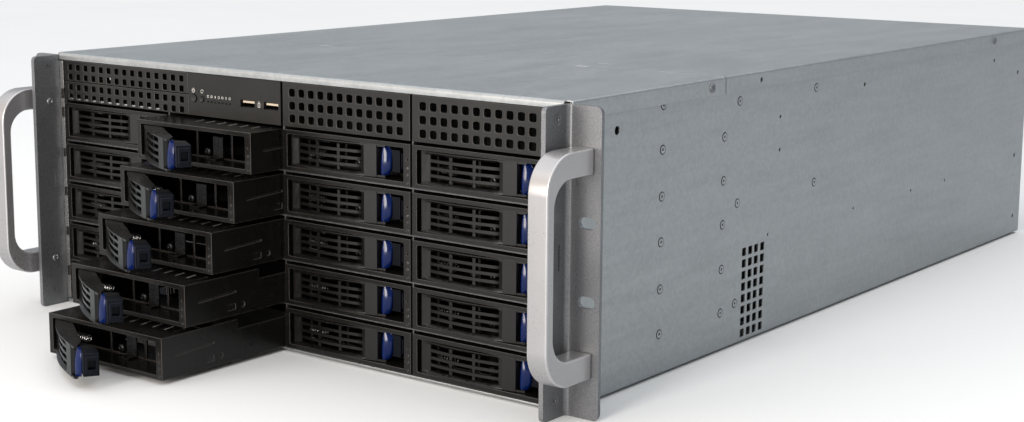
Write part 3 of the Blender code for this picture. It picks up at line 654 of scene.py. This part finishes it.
def ear_mesh(side):
    """Bent rack ear: forward plate, flange with rounded corners, slots, notch and fixing tab."""
    bend = 3.0

    plan = [(216.0, PLATE_FRONT), (219.0, PLATE_FRONT)]
    plan += arc((219.0 + bend, FRONT - bend), bend, 180, 90, 8)
    plan += [(EAR_EDGE, FRONT), (EAR_EDGE, FRONT + 2.5), (216.0 + 2.5, FRONT + 2.5)]
    plan += arc((218.0, FRONT + 0.5), 2.0, 90, 180, 4)
    bracket = slabs((mirrored(plan, side), "Z", EAR_LOW, EAR_TOP - EAR_LOW))
    tab = boxes((side * 216.0, side * 217.5, FRONT + 1.25, FRONT + 18, 1.5, 168))

    def corners(bm):
        for edge, inward in ((EAR_LOW, 1), (EAR_TOP, -1)):
            middle = edge + inward * EAR_RADIUS
            curve = arc((EAR_EDGE - EAR_RADIUS, 0), EAR_RADIUS, 0, 90, 6)
            outline = [(x, middle - inward * z) for x, z in curve]
            outline += [(EAR_EDGE - EAR_RADIUS, edge - inward), (EAR_EDGE + 1, edge - inward),
                        (EAR_EDGE + 1, middle)]
            slab(bm, mirrored(outline, side), "Y", FRONT - 1, 5)
            middle = edge + inward * PLATE_RADIUS
            start = PLATE_FRONT + PLATE_RADIUS
            outline = [(start - y, middle - inward * z) for y, z in arc((0, 0), PLATE_RADIUS, 0, 90, 6)]
            outline += [(start, edge - inward), (PLATE_FRONT - 1, edge - inward), (PLATE_FRONT - 1, middle)]
            slab(bm, outline, "X", side * 214, side * 7)

    def holes(bm):
        for z in (65.2, 109.7):
            ends = arc((232.55 + 2.35, z), 3.35, -90, 90, 10) + arc((232.55 - 2.35, z), 3.35, 90, 270, 10)
            slab(bm, mirrored(ends, side), "Y", FRONT - 2, 8)
        slab(bm, rounded(FRONT - 7.9, FRONT - 6.7, 82.3, 97.5, 0.5, 3), "X", side * 213, side * 9)
        for z in PLATE_SCREWS_Z:
            turned(bm, (side * 219, FRONT - 10, z), "X",
                   [(1.6, -side * 5), (1.6, -side * 1.6), (3.3, side * 0.1), (3.3, side * 2)], 24)
        for z in PLATE_HOLES_Z:
            rod(bm, (side * 219, FRONT - 9, z), 1.7, 12, "X", 20)

    return finished(shaped(bracket, (tab,), (corners, holes)), 0.35, 2)


def ear_screws(side):
    """Builder of the countersunk screws outside an ear plate and the pan heads on its inner face."""
    def screws(bm):
        pan = [(1.6, 3.6), (1.6, 0.1), (2.4, 0.05), (2.4, -0.4), (2.0, -0.9), (1.1, -1.1), (0.8, -0.6)]
        sunk = [(1.5, -2.6), (1.5, -1.4), (2.9, -0.25), (2.9, -0.1), (1.2, -0.1), (0.9, -0.9)]
        for z in PLATE_HOLES_Z:
            turned(bm, (side * 216, FRONT - 9, z), "X", [(r, side * h) for r, h in pan], 20)
        for z in PLATE_SCREWS_Z:
            turned(bm, (side * 219, FRONT - 10, z), "X", [(r, side * h) for r, h in sunk], 24)
    return screws


def handle_mesh(side):
    """D-shaped pull handle with wide legs, a slim bar and fine chamfers."""
    root = FRONT - 0.3
    front = FRONT - 43.0
    low = 22.5
    high = 152.0
    outer = 22.0
    inner = 15.0
    leg = 14.5
    bar = front + 6.5

    outline = [(root, high)] + arc((front + outer, high - outer), outer, 90, 180, 16)
    outline += arc((front + outer, low + outer), outer, 180, 270, 16)
    outline += [(root, low), (root, low + leg)]
    outline += arc((bar + inner, low + leg + inner), inner, 270, 180, 12)
    outline += arc((bar + inner, high - leg - inner), inner, 180, 90, 12)
    outline += [(root, high - leg)]
    solid = slabs((outline, "X", side * HANDLE_X - HANDLE_WIDTH / 2, HANDLE_WIDTH))
    return finished(make(solid), 1.0, 2, 60)


def ears_and_handles():
    for side, word in zip(SIDES, ("left", "right")):
        place(f"{word}_ear_bracket", ear_mesh(side), EAR_STEEL, "chassis", "ear_steel", [f"{word}_ear"])
        fixed(f"{word}_ear_screws", ear_screws(side), EAR_STEEL, "bright_steel")
        place(f"{word}_pull_handle", handle_mesh(side), ALUMINIUM, "chassis", "handle_aluminium",
              [f"{word}_handle"])


def side_strips():
    """Bright strip between each ear and the trays, with dark catch tabs."""
    tabs = ((144.5, 151.5), (131.5, 138.5), (103.5, 109.5), (76, 82), (47.5, 53.5), (18.5, 25.5))
    for side, word in zip(SIDES, ("left", "right")):
        strip = boxes((side * 211.9, side * 215.6, FRONT + 0.12, FRONT + 0.55, 2.0, 170.8))
        catches = boxes(*[(side * 211.9, side * 213.7, FRONT - 0.7, FRONT + 0.1, *tab) for tab in tabs])
        fixed(f"{word}_side_strip", strip, ZINC, "bright_steel", 0.1)
        fixed(f"{word}_catch_tabs", catches, PLASTIC, "bay_plastic", 0.12)


# ---- trays and levers ----
BULKHEAD = 19.5
BULKHEAD_REAR = 21.1
ROOF_END = 31.0
LOUVRE_X = [-14.9 + 10.2 * index for index in range(7)]
SPRING_Y = 10.2
SPRING_Z = 11.1
LEVER_LOW = TRAY_MIDDLE - 9.9
LEVER_HIGH = TRAY_MIDDLE + 9.9
LEVER_HEIGHT = LEVER_HIGH - LEVER_LOW
SLOT_SPANS = ((5.2, 19.7), (22.3, 37.3), (39.4, 55.8))
SLOT_ROWS = [TRAY_MIDDLE + (row - 1.5) * 4.4 for row in range(4)]


def tray_body():
    """Tray with a framed front, windowed bulkhead, louvred roof and open rear."""
    wall = TRAY_HALF - 0.95
    section = [(BULKHEAD_REAR, 0.95), (TRAY_LENGTH + 2, 0.95), (TRAY_LENGTH + 2, 30), (ROOF_END, 30),
               (ROOF_END, 24.5), (BULKHEAD_REAR, 24.5)]
    block = boxes((-TRAY_HALF, TRAY_HALF, 0, TRAY_LENGTH, 0, TRAY_HEIGHT))
    hollows = slabs((rounded(-48.65, 46.95, 2.6, 23.1, 0.9, 3), "Y", -2, BULKHEAD + 2),
                    (section, "X", -wall, 2 * wall))
    louvres = slabs(*[([(x - 1, 16), (x + 1, 16), (x - 0.6, 25), (x - 2.6, 25)], "Z", 24.9, 3)
                      for x in LOUVRE_X])

    def windows(bm):
        for left, right in ((-47.6, -17.7), (-16.1, 14.3), (15.9, 45.7)):
            slab(bm, rounded(left, right, 3.4, 22.3, 0.8, 3), "Y", BULKHEAD - 1, 4)
        slab(bm, rounded(2.2, 18.7, 3.4, 22.3, 1.0, 3), "X", -TRAY_HALF - 2, 4.6)
        for front, rear in ((48, 98), (110, 165)):
            slab(bm, rounded(-40, 40, front, rear, 3.0, 4), "Z", -2, 5)
        box(bm, -TRAY_HALF - 2, TRAY_HALF + 2, 62, TRAY_LENGTH + 4, 19.5, 30)

    def details(bm):
        for z in (16.3, 11.2, 7.1, 2.3):
            rod(bm, (49.8, 0, z), 0.7, 5, "Y", 12)
        slab(bm, [(11, 12.9), (42, 14.3), (42, 15.3), (11, 13.9)], "X", TRAY_HALF - 0.5, 3)
        for x in (TRAY_HALF, -TRAY_HALF):
            rod(bm, (x, 47.6, 5.6), 1.7, 1.0, "X", 16)
        slab(bm, rounded(34.5, 41.5, 3.6, 7.4, 0.5, 2), "X", TRAY_HALF - 0.35, 2)

    return finished(shaped(block, (), (hollows, windows, louvres, details)), 0.28, 2)


def louvre_highlight_lips():
    """Pale lips along all but the last slot of the tray roof: a painted highlight where light catches the
    slot edges.
    """
    lips = slabs(*[([(x - 0.1, 16.2), (x + 0.95, 16.2), (x - 0.65, 24.8), (x - 1.7, 24.8)],
                    "Z", 24.8, TRAY_HEIGHT - 24.9) for x in LOUVRE_X[:-1]])
    return finished(make(lips), 0)


def coil(bm, start, end, radius, wire, turns):
    """Coil spring along X, on the line of the tray's spring."""
    steps = int(turns * 16)
    sections = []
    for step in range(steps + 1):
        share = step / steps
        angle = 2 * math.pi * turns * share
        spoke = Vector((0, math.cos(angle), math.sin(angle)))
        centre = Vector((start + (end - start) * share, SPRING_Y, SPRING_Z)) + spoke * radius
        section = []
        for j in range(6):
            turn = 2 * math.pi * j / 6
            section.append(centre + spoke * wire * math.cos(turn) + Vector((1, 0, 0)) * wire * math.sin(turn))
        sections.append(section)
    loft(bm, sections)


def tray_spring():
    """Return spring with its end post, and the pins in the frame's holes."""
    def parts(bm):
        coil(bm, -37.2, -25.7, 2.15, 0.33, 5.5)
        turned(bm, (-40.5, SPRING_Y, SPRING_Z), "X", [(1.1, 0), (1.4, 0.3), (1.4, 2.6), (0.8, 3.0)], 12)
        for z in (11.2, 7.1, 2.3):
            turned(bm, (49.8, 0.9, z), "Y", [(0.55, 1.2), (0.55, 0.0), (0.4, -0.25), (0.15, -0.35)], 12)
    return finished(make(parts), 0)


def tray_fixings():
    """Bracket, hub and side fixings of a tray; their near-black steel is painted shade inside the tray."""
    def parts(bm):
        outline = [(12.0, 2.75), (19.3, 2.75), (19.3, 17.0), (18.4, 17.0), (18.4, 3.65), (12.0, 3.65)]
        slab(bm, outline, "X", -0.9, 9.0)
        profile = [(2.9, 1.9), (2.9, 0.9), (2.3, 0.3), (1.3, 0.2), (1.0, -0.6), (0.6, -0.9)]
        turned(bm, (-5.9, 17.4, 6.6), "Y", profile, 20)
        box(bm, TRAY_HALF - 0.36, TRAY_HALF - 0.1, 34.8, 41.2, 3.9, 7.1)
        profile = [(1.9, -0.4), (1.9, 0.02), (1.5, 0.14), (0.6, 0.14), (0.5, 0.0)]
        for side in (1, -1):
            turned(bm, (side * TRAY_HALF, 72.7, 6.4), "X", [(r, side * h) for r, h in profile], 16)
    return finished(make(parts), 0)


def bow(x):
    """Front line of the lever: a shallow bow that ends a little further back at the latch."""
    share = (x + 1.8) / 72.4
    return -4.3 + 2.3 * share - 3.6 * math.sin(math.pi * max(0.0, min(1.0, share)))


def bowed(first, span, steps, near, far):
    """Outline that follows the bow, between two distances behind the front line."""
    stations = [first + span * i / steps for i in range(steps + 1)]
    return [(x, bow(x) + near) for x in stations] + [(x, bow(x) + far) for x in stations[::-1]]


def about_middle(half):
    """The two heights at a distance from half a tray's height."""
    return TRAY_MIDDLE - half, TRAY_MIDDLE + half


def lever_body():
    """Bowed lever: framed recess with slots, top and bottom flanges, hinge and latch arm."""
    first = -1.1
    last = 67.8
    plate = slabs((bowed(first, last - first, 24, 0, 3.2), "Z", LEVER_LOW, LEVER_HEIGHT))
    grooves = slabs(*[(bowed(5.2, 50.6, 12, -1, 2.4), "Z", z - 1.3, 2.6) for z in SLOT_ROWS])
    slots = boxes(*[(*span, -6.2, 1.6, z - 1.3, z + 1.3) for z in SLOT_ROWS for span in SLOT_SPANS])
    outline = [(0.6, -2.6), (9.5, 3.6), (12.0, 4.2), (63.0, 4.2), (66.0, 3.4), (70.8, 1.2), (73.4, 0.8),
               (73.6, -1.2), (70.6, -1.9), (60.0, -3.2), (29.0, -6.2), (8.0, -5.0)]
    flanges = slabs(*[(outline, "Z", low, 1.2) for low in (LEVER_LOW + 0.02, LEVER_HIGH - 1.22)])
    outline = [(58.0, -2.4), (67.5, -1.6), (68.4, 0.2), (68.4, 11.5), (66.4, 12.4), (60.5, 12.4), (58.0, 4.0)]
    arm = slabs((outline, "Z", TRAY_MIDDLE - 6.6, 13.2))
    outline = arc((0, 0), 1.7, -20, 200, 10) + [(-1.7, -2.6), (2.4, -2.6)]
    hinge = slabs((outline, "Z", LEVER_LOW + 0.05, LEVER_HEIGHT - 0.1))

    def recess(bm):
        depth = 1.7
        stations = [(0.1, 0.0), (4.0, depth)]
        stations += [(4.0 + 51.8 * i / 14, depth) for i in range(1, 15)] + [(59.0, 0.0)]
        sections = []
        for x, sunk in stations:
            y = bow(x)
            sections.append([(x, y - 2, LEVER_LOW + 0.6), (x, y - 2, LEVER_HIGH - 0.6),
                             (x, y - 0.01, LEVER_HIGH - 0.6), (x, y + sunk, LEVER_HIGH - 2.0),
                             (x, y + sunk, LEVER_LOW + 2.0), (x, y - 0.01, LEVER_LOW + 0.6)])
        loft(bm, sections)

    return finished(shaped(plate, (flanges, hinge, arm), (recess, grooves, slots)), 0.22, 2)


def lever_button():
    """Barrel-fronted release button."""
    root = 70.6
    back = 3.0
    half = 8.7
    plan = ([(69.2, back), (69.2, -0.4), (69.5, -0.9), (70.2, -1.1), (70.8, -1.08)]
            + arc((67.2, 11.4), 13.0, -72, -52, 8) + [(75.6, 1.8), (75.6, back)])

    def barrel(bm):
        sections = []
        for step in range(17):
            share = -1 + 2 * step / 16
            keep = 1 - 0.42 * abs(share) ** 3.2
            rise = 0.7 * share * share + 0.7 * (1 + share)
            section = []
            for x, y in plan:
                if x > root:
                    x = root + (x - root) * keep
                section.append((x, min(back, y + rise), TRAY_MIDDLE + half * share))
            sections.append(section)
        loft(bm, sections)

    return finished(make(barrel), 0.35, 2, 50)


def lever_latch():
    """Latch box with a raised square rim and a dark opening in its end face."""
    block = boxes((68.5, 81.6, 3.1, 12.4, *about_middle(6.85)))
    rim = boxes((81.4, 82.2, 4.6, 11.6, *about_middle(4.9)))
    opening = boxes((78.5, 84.0, 5.9, 10.4, *about_middle(2.75)))
    return finished(shaped(block, (rim,), (opening,)), 0.3, 2)


def lever_plug():
    """Plug inside the latch opening, in the latch plastic that is darkened with painted shade."""
    return finished(make(boxes((78.52, 79.2, 5.95, 10.35, *about_middle(2.7)))), 0.15, 1)


def column_centre(column):
    return (column - 2.5) * COLUMN_PITCH


def row_bottom(row):
    return ROW_BASE + (5 - row) * ROW_PITCH


def trays():
    """Twenty trays with their levers: the open column is drawn out by a different length in each row."""
    kinds = {"tray_body": (tray_body(), PLASTIC, "bay_plastic"),
             "tray_louvre_lips": (louvre_highlight_lips(), LOUVRE_HIGHLIGHT_PLASTIC, "bay_plastic"),
             "tray_spring": (tray_spring(), ZINC, "bright_steel"),
             "tray_fixings": (tray_fixings(), SHADE_DARKENED_STEEL, "bright_steel"),
             "lever_body": (lever_body(), PLASTIC, "bay_plastic"),
             "lever_button": (lever_button(), BLUE, "release_blue"),
             "lever_latch": (lever_latch(), SHADE_DARKENED_LATCH, "latch_grey"),
             "lever_plug": (lever_plug(), SHADE_DARKENED_LATCH, "latch_grey")}
    for column in COLUMNS:
        for row in ROWS:
            is_open = column == OPEN_COLUMN
            corner = (column_centre(column), FRONT - (EXTENSION[row] if is_open else 0.0), row_bottom(row))
            pivot = (corner[0] + PIVOT[0], corner[1] + PIVOT[1], corner[2])
            where = {"tray": (corner, 0.0), "lever": (pivot, OPEN_TURN if is_open else 0.0)}
            for kind, (data, material, slot) in kinds.items():
                part = kind.split("_")[0]
                body = f"{part}_c{column}_r{row}"
                replaced = [body] if kind.endswith("_body") else ()
                place(f"{kind}_c{column}_r{row}", data, material, body, slot, replaced, *where[part])


# ---- front panels ----
PANEL_LOW = 143.7
PANEL_HIGH = 171.3
PANEL_THICK = 3.0
SPLIT = 157.1
LEFT_BANDS = ((PANEL_LOW, SPLIT - 0.25), (SPLIT + 0.25, PANEL_HIGH))
LEFT_ROWS = (146.4, 153.0, 160.2, 166.8)
LEFT_PITCH = 8.04
RIGHT_BANDS = ((PANEL_LOW, PANEL_HIGH),)
RIGHT_ROWS = (148.8, 156.9, 165.0)
RIGHT_PITCH = 8.0


def perforated(left, right, count, rows, pitch, hole, corner, bands):
    """Panel bands with a regular grid of rounded holes."""
    plates = boxes(*[(left, right, FRONT, FRONT + PANEL_THICK, *band) for band in bands])
    first = (left + right) / 2 - pitch * (count - 1) / 2
    holes = slabs(*[(rounded_at(first + pitch * index, z, hole / 2, hole / 2, corner, 3), "Y", FRONT - 2, 7)
                    for index in range(count) for z in rows])
    return finished(shaped(plates, (), (holes,)), 0.3, 2)


def grilles():
    panels = {"left_grille": (-210.6, -84.8, 15, LEFT_ROWS, LEFT_PITCH, 4.2, 0.9, LEFT_BANDS),
              "centre_grille": (0.9, 105.0, 12, RIGHT_ROWS, RIGHT_PITCH, 5.0, 1.3, RIGHT_BANDS),
              "right_grille": (106.7, 210.8, 12, RIGHT_ROWS, RIGHT_PITCH, 5.0, 1.3, RIGHT_BANDS)}
    for name, settings in panels.items():
        place(f"{name}_panel", perforated(*settings), PANEL, "chassis", "bay_plastic", [name])

    first = -147.7 - LEFT_PITCH * 7
    centres = [first + LEFT_PITCH * index for index in range(12)]
    clips = boxes(*[(x - 1.9, x + 1.9, FRONT + 0.7, FRONT + 2.7, 144.42, 145.35) for x in centres])
    fixed("grille_clips", clips, ZINC, "bright_steel", 0.1)


SOCKETS = (-30.1, -9.2)
SOCKET_Z = 155.0
BUTTONS = {"power_button": (-79.1, 154.9, 2.4), "reset_button": (-71.6, 154.8, 1.7)}
LED_X = [-66.2 + 3.33 * i for i in range(7)]
LED_Z = 153.6
MARK_THICK = 0.06


def control_panel():
    """Panel with sockets, indicator lenses, printed marks and two buttons."""
    plate = boxes((-84.4, -0.9, FRONT, FRONT + PANEL_THICK, PANEL_LOW, PANEL_HIGH))
    shells = boxes(*[(x - 7.35, x + 7.35, FRONT + 0.5, FRONT + 14, SOCKET_Z - 3.4, SOCKET_Z + 3.4)
                     for x in SOCKETS])
    tongues = boxes(*[(x - 5.3, x + 5.3, FRONT + 1.2, FRONT + 12.5, SOCKET_Z + 0.35, SOCKET_Z + 1.75)
                      for x in SOCKETS])

    def openings(bm):
        for x in SOCKETS:
            slab(bm, rounded_at(x, SOCKET_Z, 6.35, 2.4, 0.4, 2), "Y", FRONT - 2, 15)
        for x, z, radius in BUTTONS.values():
            rod(bm, (x, FRONT, z), radius + 0.3, 12, "Y", 28)
        for x in LED_X:
            rod(bm, (x, FRONT, LED_Z), 0.75, 1.2, "Y", 14)

    def linings(bm):
        for x in SOCKETS:
            outer = rounded_at(x, SOCKET_Z, 6.3, 2.35, 0.5, 2)
            inner = rounded_at(x, SOCKET_Z, 6.0, 2.05, 0.4, 2)
            frame_between(bm, outer, inner, FRONT + 1.2, FRONT + 12.6)

    def lenses(bm):
        profile = [(0.62, 0.4), (0.62, -0.05), (0.4, -0.22), (0.15, -0.28)]
        for x in LED_X:
            turned(bm, (x, FRONT + 0.1, LED_Z), "Y", profile, 14)

    data = finished(shaped(plate, (shells,), (openings,)), 0.25, 2)
    place("control_panel_plate", data, PANEL, "chassis", "bay_plastic", ["control_panel"])
    # The socket linings are darkened steel: painted shade inside the sockets.
    fixed("socket_linings", linings, SHADE_DARKENED_STEEL, "bright_steel")
    fixed("socket_tongues", tongues, CREAM, "print_white", 0.12)
    fixed("indicator_lenses", lenses, SHADE_DARKENED_LATCH, "latch_grey")
    fixed("panel_marks", printed_marks, PRINT, "print_white")
    for name, (x, z, radius) in BUTTONS.items():
        def cap(bm):
            profile = [(radius, 3.8), (radius, -0.4), (radius - 0.25, -0.75), (radius * 0.55, -0.62),
                       (radius * 0.2, -0.58)]
            turned(bm, (0, 0, 0), "Y", profile, 28)
        place(f"{name}_cap", finished(make(cap), 0), BUTTON, name, "button_plastic", [name], (x, FRONT, z))


def stroke(bm, points, width):
    """Add a printed line through points on the face of the panel."""
    for (x0, z0), (x1, z1) in zip(points, points[1:]):
        along = Vector((x1 - x0, z1 - z0)).normalized() * 0.02
        across = Vector((-along.y, along.x)).normalized() * width / 2
        ends = [(x0 - along.x + across.x, z0 - along.y + across.y),
                (x1 + along.x + across.x, z1 + along.y + across.y),
                (x1 + along.x - across.x, z1 + along.y - across.y),
                (x0 - along.x - across.x, z0 - along.y - across.y)]
        slab(bm, ends, "Y", FRONT - MARK_THICK, MARK_THICK * 0.9)


def printed_marks(bm):
    """Small generic marks: a plain shape over each indicator, power, restart and a socket mark."""
    z = LED_Z + 3.4
    for index, x in enumerate(LED_X):
        if index % 3 == 0:
            stroke(bm, arc((x, z), 0.75, 0, 360, 12), 0.28)
        elif index % 3 == 1:
            stroke(bm, [(x - 0.7, z - 0.6), (x + 0.7, z - 0.6), (x + 0.7, z + 0.6), (x - 0.7, z + 0.6),
                        (x - 0.7, z - 0.6)], 0.28)
        else:
            stroke(bm, [(x, z - 0.8), (x, z + 0.8)], 0.5)
    stroke(bm, arc((-79.9, 159.9), 1.2, 125, 415, 14), 0.36)
    stroke(bm, [(-79.9, 159.9), (-79.9, 161.6)], 0.36)
    stroke(bm, arc((-71.9, 159.8), 1.05, 60, 330, 12), 0.32)
    stroke(bm, [(-71.4, 160.9), (-70.4, 160.5), (-71.0, 159.7)], 0.3)
    stroke(bm, [(-20.6, 153.6), (-19.0, 153.6), (-19.0, 156.2), (-20.6, 156.2), (-20.6, 153.6)], 0.3)
    stroke(bm, [(-19.8, 156.3), (-19.8, 157.4)], 0.34)


# ---- cooling and board ----
BLADES = 7
BLADE_ROOT = 19.2
BLADE_TIP = 54.6
GUARD_RADII = (16, 27, 38, 49, 58)
GUARD_WIRE = 0.7
FAN_SCREWS = (-52.5, 52.5)


def rotors():
    """Turned hub with seven curved blades on each fan."""
    def hub(bm):
        turned(bm, (0, 0, 0), "Y", [(8.0, -9.0), (8.4, -9.5), (19.6, -9.5), (20.5, -8.6), (20.5, 9.5)], 48)

    def blades(bm):
        for index in range(BLADES):
            spin = Matrix.Rotation(2 * math.pi * index / BLADES, 4, "Y")
            sections = []
            for step in range(9):
                share = step / 8
                radius = BLADE_ROOT + (BLADE_TIP - BLADE_ROOT) * share
                twist = math.radians(-(52 - 24 * share))
                sweep = math.radians(-16 * share)
                chord = 22.0 + 8.0 * share
                upper = []
                lower = []
                for j in range(9):
                    t = -0.5 + j / 8
                    camber = 2.4 * (0.25 - t * t)
                    thick = 0.85 * (1 - abs(2 * t) ** 3) + 0.22
                    for side, rows in ((1, upper), (-1, lower)):
                        point = Vector((radius, camber + side * thick, t * chord))
                        point = Matrix.Rotation(twist, 4, "X") @ point
                        rows.append(spin @ Matrix.Rotation(sweep, 4, "Y") @ point)
                sections.append(upper + lower[::-1])
            loft(bm, sections)

    data = finished(shaped(hub, (blades,)), 0)
    for index, x in enumerate(FAN_X):
        name = f"fan_rotor_{index + 1}"
        place(f"{name}_blades", data, FAN, name, "fan_plastic", [name], (x, FAN_ROTOR_Y, FAN_Z))


def fan_guards():
    """Wire finger guards and corner screws on the intake side of the fan wall."""
    def guards(bm):
        for x in FAN_X:
            for radius in GUARD_RADII:
                wire_ring(bm, (x, FAN_WALL_FRONT - 1.6, FAN_Z), "Y", radius, GUARD_WIRE, 48, 6)
            for angle in (45, 135, 225, 315):
                way = Vector((math.cos(math.radians(angle)), 0, math.sin(math.radians(angle))))
                side = Vector((-way.z, 0, way.x)) * GUARD_WIRE
                near, far = (Vector((x, FAN_WALL_FRONT - 0.9, FAN_Z)) + way * reach for reach in (14, 62))
                back = Vector((0, 0.85, 0))
                prism(bm, [near - side, near + side, near + side + back, near - side + back], far - near)

    def screws(bm):
        for x in FAN_X:
            for dx in FAN_SCREWS:
                for dz in FAN_SCREWS:
                    screw_head(bm, (x + dx, FAN_WALL_FRONT, FAN_Z + dz), "Y", -1, 3.0, 1.4)

    fixed("fan_guards", guards, ZINC, "bright_steel")
    fixed("fan_screws", screws, ZINC, "bright_steel")


def board_parts():
    """Capacitors, chips and power connectors on the rear of the drive board."""
    start = BOARD_REAR + 0.02

    def dark(bm):
        profile = [(2.4, 0), (2.5, 0.4), (2.5, 6.4), (2.1, 6.8)]
        for column in COLUMNS:
            centre = column_centre(column)
            for row in (2, 4):
                z = row_bottom(row) - 1.5
                box(bm, centre - 7, centre + 7, start, BOARD_REAR + 1.6, z - 2.6, z + 2.6)
                for offset in (24, 31):
                    turned(bm, (centre + offset, start, z), "Y", profile, 20)

    def light(bm):
        for column in COLUMNS:
            centre = column_centre(column)
            box(bm, centre - 11, centre + 11, start, BOARD_REAR + 9, 144.6, 149.6)
            box(bm, centre - 30, centre - 18, start, BOARD_REAR + 7, 85.2, 89.6)

    fixed("board_parts", dark, FAN, "fan_plastic", 0.15)
    fixed("board_connectors", light, PRINT, "print_white", 0.25)


def cage_roof():
    """Thin sheet that closes the bays over their top row, darkened with painted shade."""
    fixed("cage_top_sheet", boxes((-211, 211, FRONT + 4, FRONT + 176, 143.42, 143.66)), SHADE_DARKENED_CAGE, "cage_steel")


def rear_frames():
    """Folded rims round the two large rear openings."""
    rim = 1.1

    def rims(bm):
        for x0, x1, z0, z1 in ((50.0, 200.0, 6.0, 92.0), (-208.0, -49.3, 12.0, 56.5)):
            inner = rounded(x0 + rim, x1 - rim, z0 + rim, z1 - rim, 0.6, 3)
            frame_between(bm, rounded(x0, x1, z0, z1, 1.2, 3), inner, REAR - 8.0, REAR + 0.8)
    fixed("rear_opening_rims", rims, STEEL, "galvanised_steel")


def keep_node(name, material, bevel=0.25):
    """Give a kept CAD node its finish and slightly rounded edges."""
    item = NODES[name]
    for slot in item.material_slots:
        slot.material = material[0]
    if bevel:
        weld = item.modifiers.new("weld", "WELD")
        weld.merge_threshold = 0.00001
        edge = item.modifiers.new("edge", "BEVEL")
        edge.width = bevel * MM
        edge.segments = 1
        edge.limit_method = "ANGLE"
        edge.angle_limit = math.radians(50)


# ---- stage, in metres ----
FLOOR_HALF = 12.0
FLOOR_DROP = 0.0016
FLOOR_IN_METAL = (0.50, 0.525, 0.54)
SKY_COOL = (0.295, 0.325, 0.355)
SKY_DIM = (0.20, 0.20, 0.205)
SKY_WARM = (1.05, 0.94, 0.84)
WHITE = (1.0, 1.0, 1.0)
KEY_COLOUR = (1.0, 0.93, 0.86)
LIGHT_TARGET = (0.1, -0.34, 0.09)
OVERHEAD_ENERGY = 1.9
OVERHEAD_ANGLE = 110
CAMERA_PLACE = (0.76224, -1.10789, 0.28957)
CAMERA_YAW = 37.141
CAMERA_PITCH = 9.502
CAMERA_ROLL = 0.381
CAMERA_LENS = 60.88
CAMERA_SHIFT = -0.03


def stage():
    """Plain pale floor that metal reflects as a mid grey."""
    bm = bmesh.new()
    bmesh.ops.create_grid(bm, x_segments=2, y_segments=2, size=FLOOR_HALF)
    data = bpy.data.meshes.new("floor")
    bm.to_mesh(data)
    bm.free()
    floor = linked("floor", data)
    floor.location = (0, 0, -FLOOR_DROP)
    made = Finish("floor_finish", Roughness=0.9)
    tone = made.grey(made.noise(3.0), 0.90, 0.92)
    mirrored_ray = node(made.tree, "ShaderNodeLightPath", {}).outputs["Is Glossy Ray"]
    made.link(made.mix(mirrored_ray, tone, FLOOR_IN_METAL), "Base Color")
    data.materials.append(made.material)


def surround():
    """Backdrop that is seen as white, and lights warm from the front left and cool from the right."""
    world = bpy.context.scene.world or bpy.data.worlds.new("world")
    bpy.context.scene.world = world
    world.use_nodes = True
    tree = world.node_tree
    background = tree.nodes["Background"]
    background.inputs["Strength"].default_value = 1.0
    direction = tree.nodes.new("ShaderNodeTexCoord").outputs["Generated"]

    def lobe(way, start, end, first, second):
        inputs = {0: direction, 1: Vector(way).normalized()}
        facing = node(tree, "ShaderNodeVectorMath", inputs, operation="DOT_PRODUCT").outputs["Value"]
        inputs = {"Value": facing, "From Min": start, "From Max": end}
        share = node(tree, "ShaderNodeMapRange", inputs, interpolation_type="SMOOTHSTEP").outputs["Result"]
        return mixed(tree, share, first, second)

    light = lobe((0.85, -0.5, 0.0), 0.2, 0.95, SKY_COOL, SKY_DIM)
    light = lobe((-0.62, -0.78, 0.05), 0.55, 0.98, light, SKY_WARM)
    seen = node(tree, "ShaderNodeLightPath", {}).outputs["Is Camera Ray"]
    tree.links.new(mixed(tree, seen, light, WHITE), background.inputs["Color"])


def area_light(name, start, size, power, shape):
    """A soft light that faces the front of the case."""
    data = bpy.data.lights.new(name, "AREA")
    data.color = KEY_COLOUR
    data.shape = "RECTANGLE"
    data.size = size * shape[0]
    data.size_y = size * shape[1]
    data.energy = power
    item = linked(name, data)
    item.location = start
    direction = Vector(LIGHT_TARGET) - Vector(start)
    item.rotation_euler = direction.to_track_quat("-Z", "Y").to_euler()


def lights():
    area_light("key", (-0.95, -2.9, 0.45), 1.0, 14.0, (0.9, 0.75))
    area_light("strip", (0.35, -3.0, 0.85), 1.7, 62.0, (0.42, 1.0))
    data = bpy.data.lights.new("overhead", "SUN")
    data.energy = OVERHEAD_ENERGY
    data.angle = math.radians(OVERHEAD_ANGLE)
    linked("overhead", data).location = (0, 0, 3)


def camera():
    yaw, pitch, roll = (math.radians(value) for value in (CAMERA_YAW, CAMERA_PITCH, CAMERA_ROLL))
    forward = Vector((-math.sin(yaw) * math.cos(pitch), math.cos(yaw) * math.cos(pitch), -math.sin(pitch)))
    level = Vector((math.cos(yaw), math.sin(yaw), 0))
    above = level.cross(forward)
    right = level * math.cos(roll) + above * math.sin(roll)
    up = above * math.cos(roll) - level * math.sin(roll)
    turn = Matrix((right, up, -forward)).transposed()
    data = bpy.data.cameras.new("camera")
    data.lens = CAMERA_LENS
    data.sensor_width = 36.0
    data.shift_y = CAMERA_SHIFT
    data.clip_start = 0.01
    data.clip_end = 60.0
    item = linked("camera", data)
    item.matrix_world = Matrix.Translation(CAMERA_PLACE) @ turn.to_4x4()
    bpy.context.scene.camera = item


def main():
    for build in (chassis_shell, covers, fasteners, ears_and_handles, side_strips, trays, grilles,
                  control_panel, rotors, fan_guards, board_parts, cage_roof, rear_frames):
        build()
    keep_node("drive_cage", SHADE_DARKENED_CAGE, 0)
    keep_node("backplane", BOARD, 0)
    keep_node("fan_wall", SHADE_DARKENED_CAGE)
    keep_node("rear_panel", STEEL, 0.2)
    for build in (stage, surround, lights, camera):
        build()
    bpy.context.scene.view_settings.view_transform = "Standard"


main()
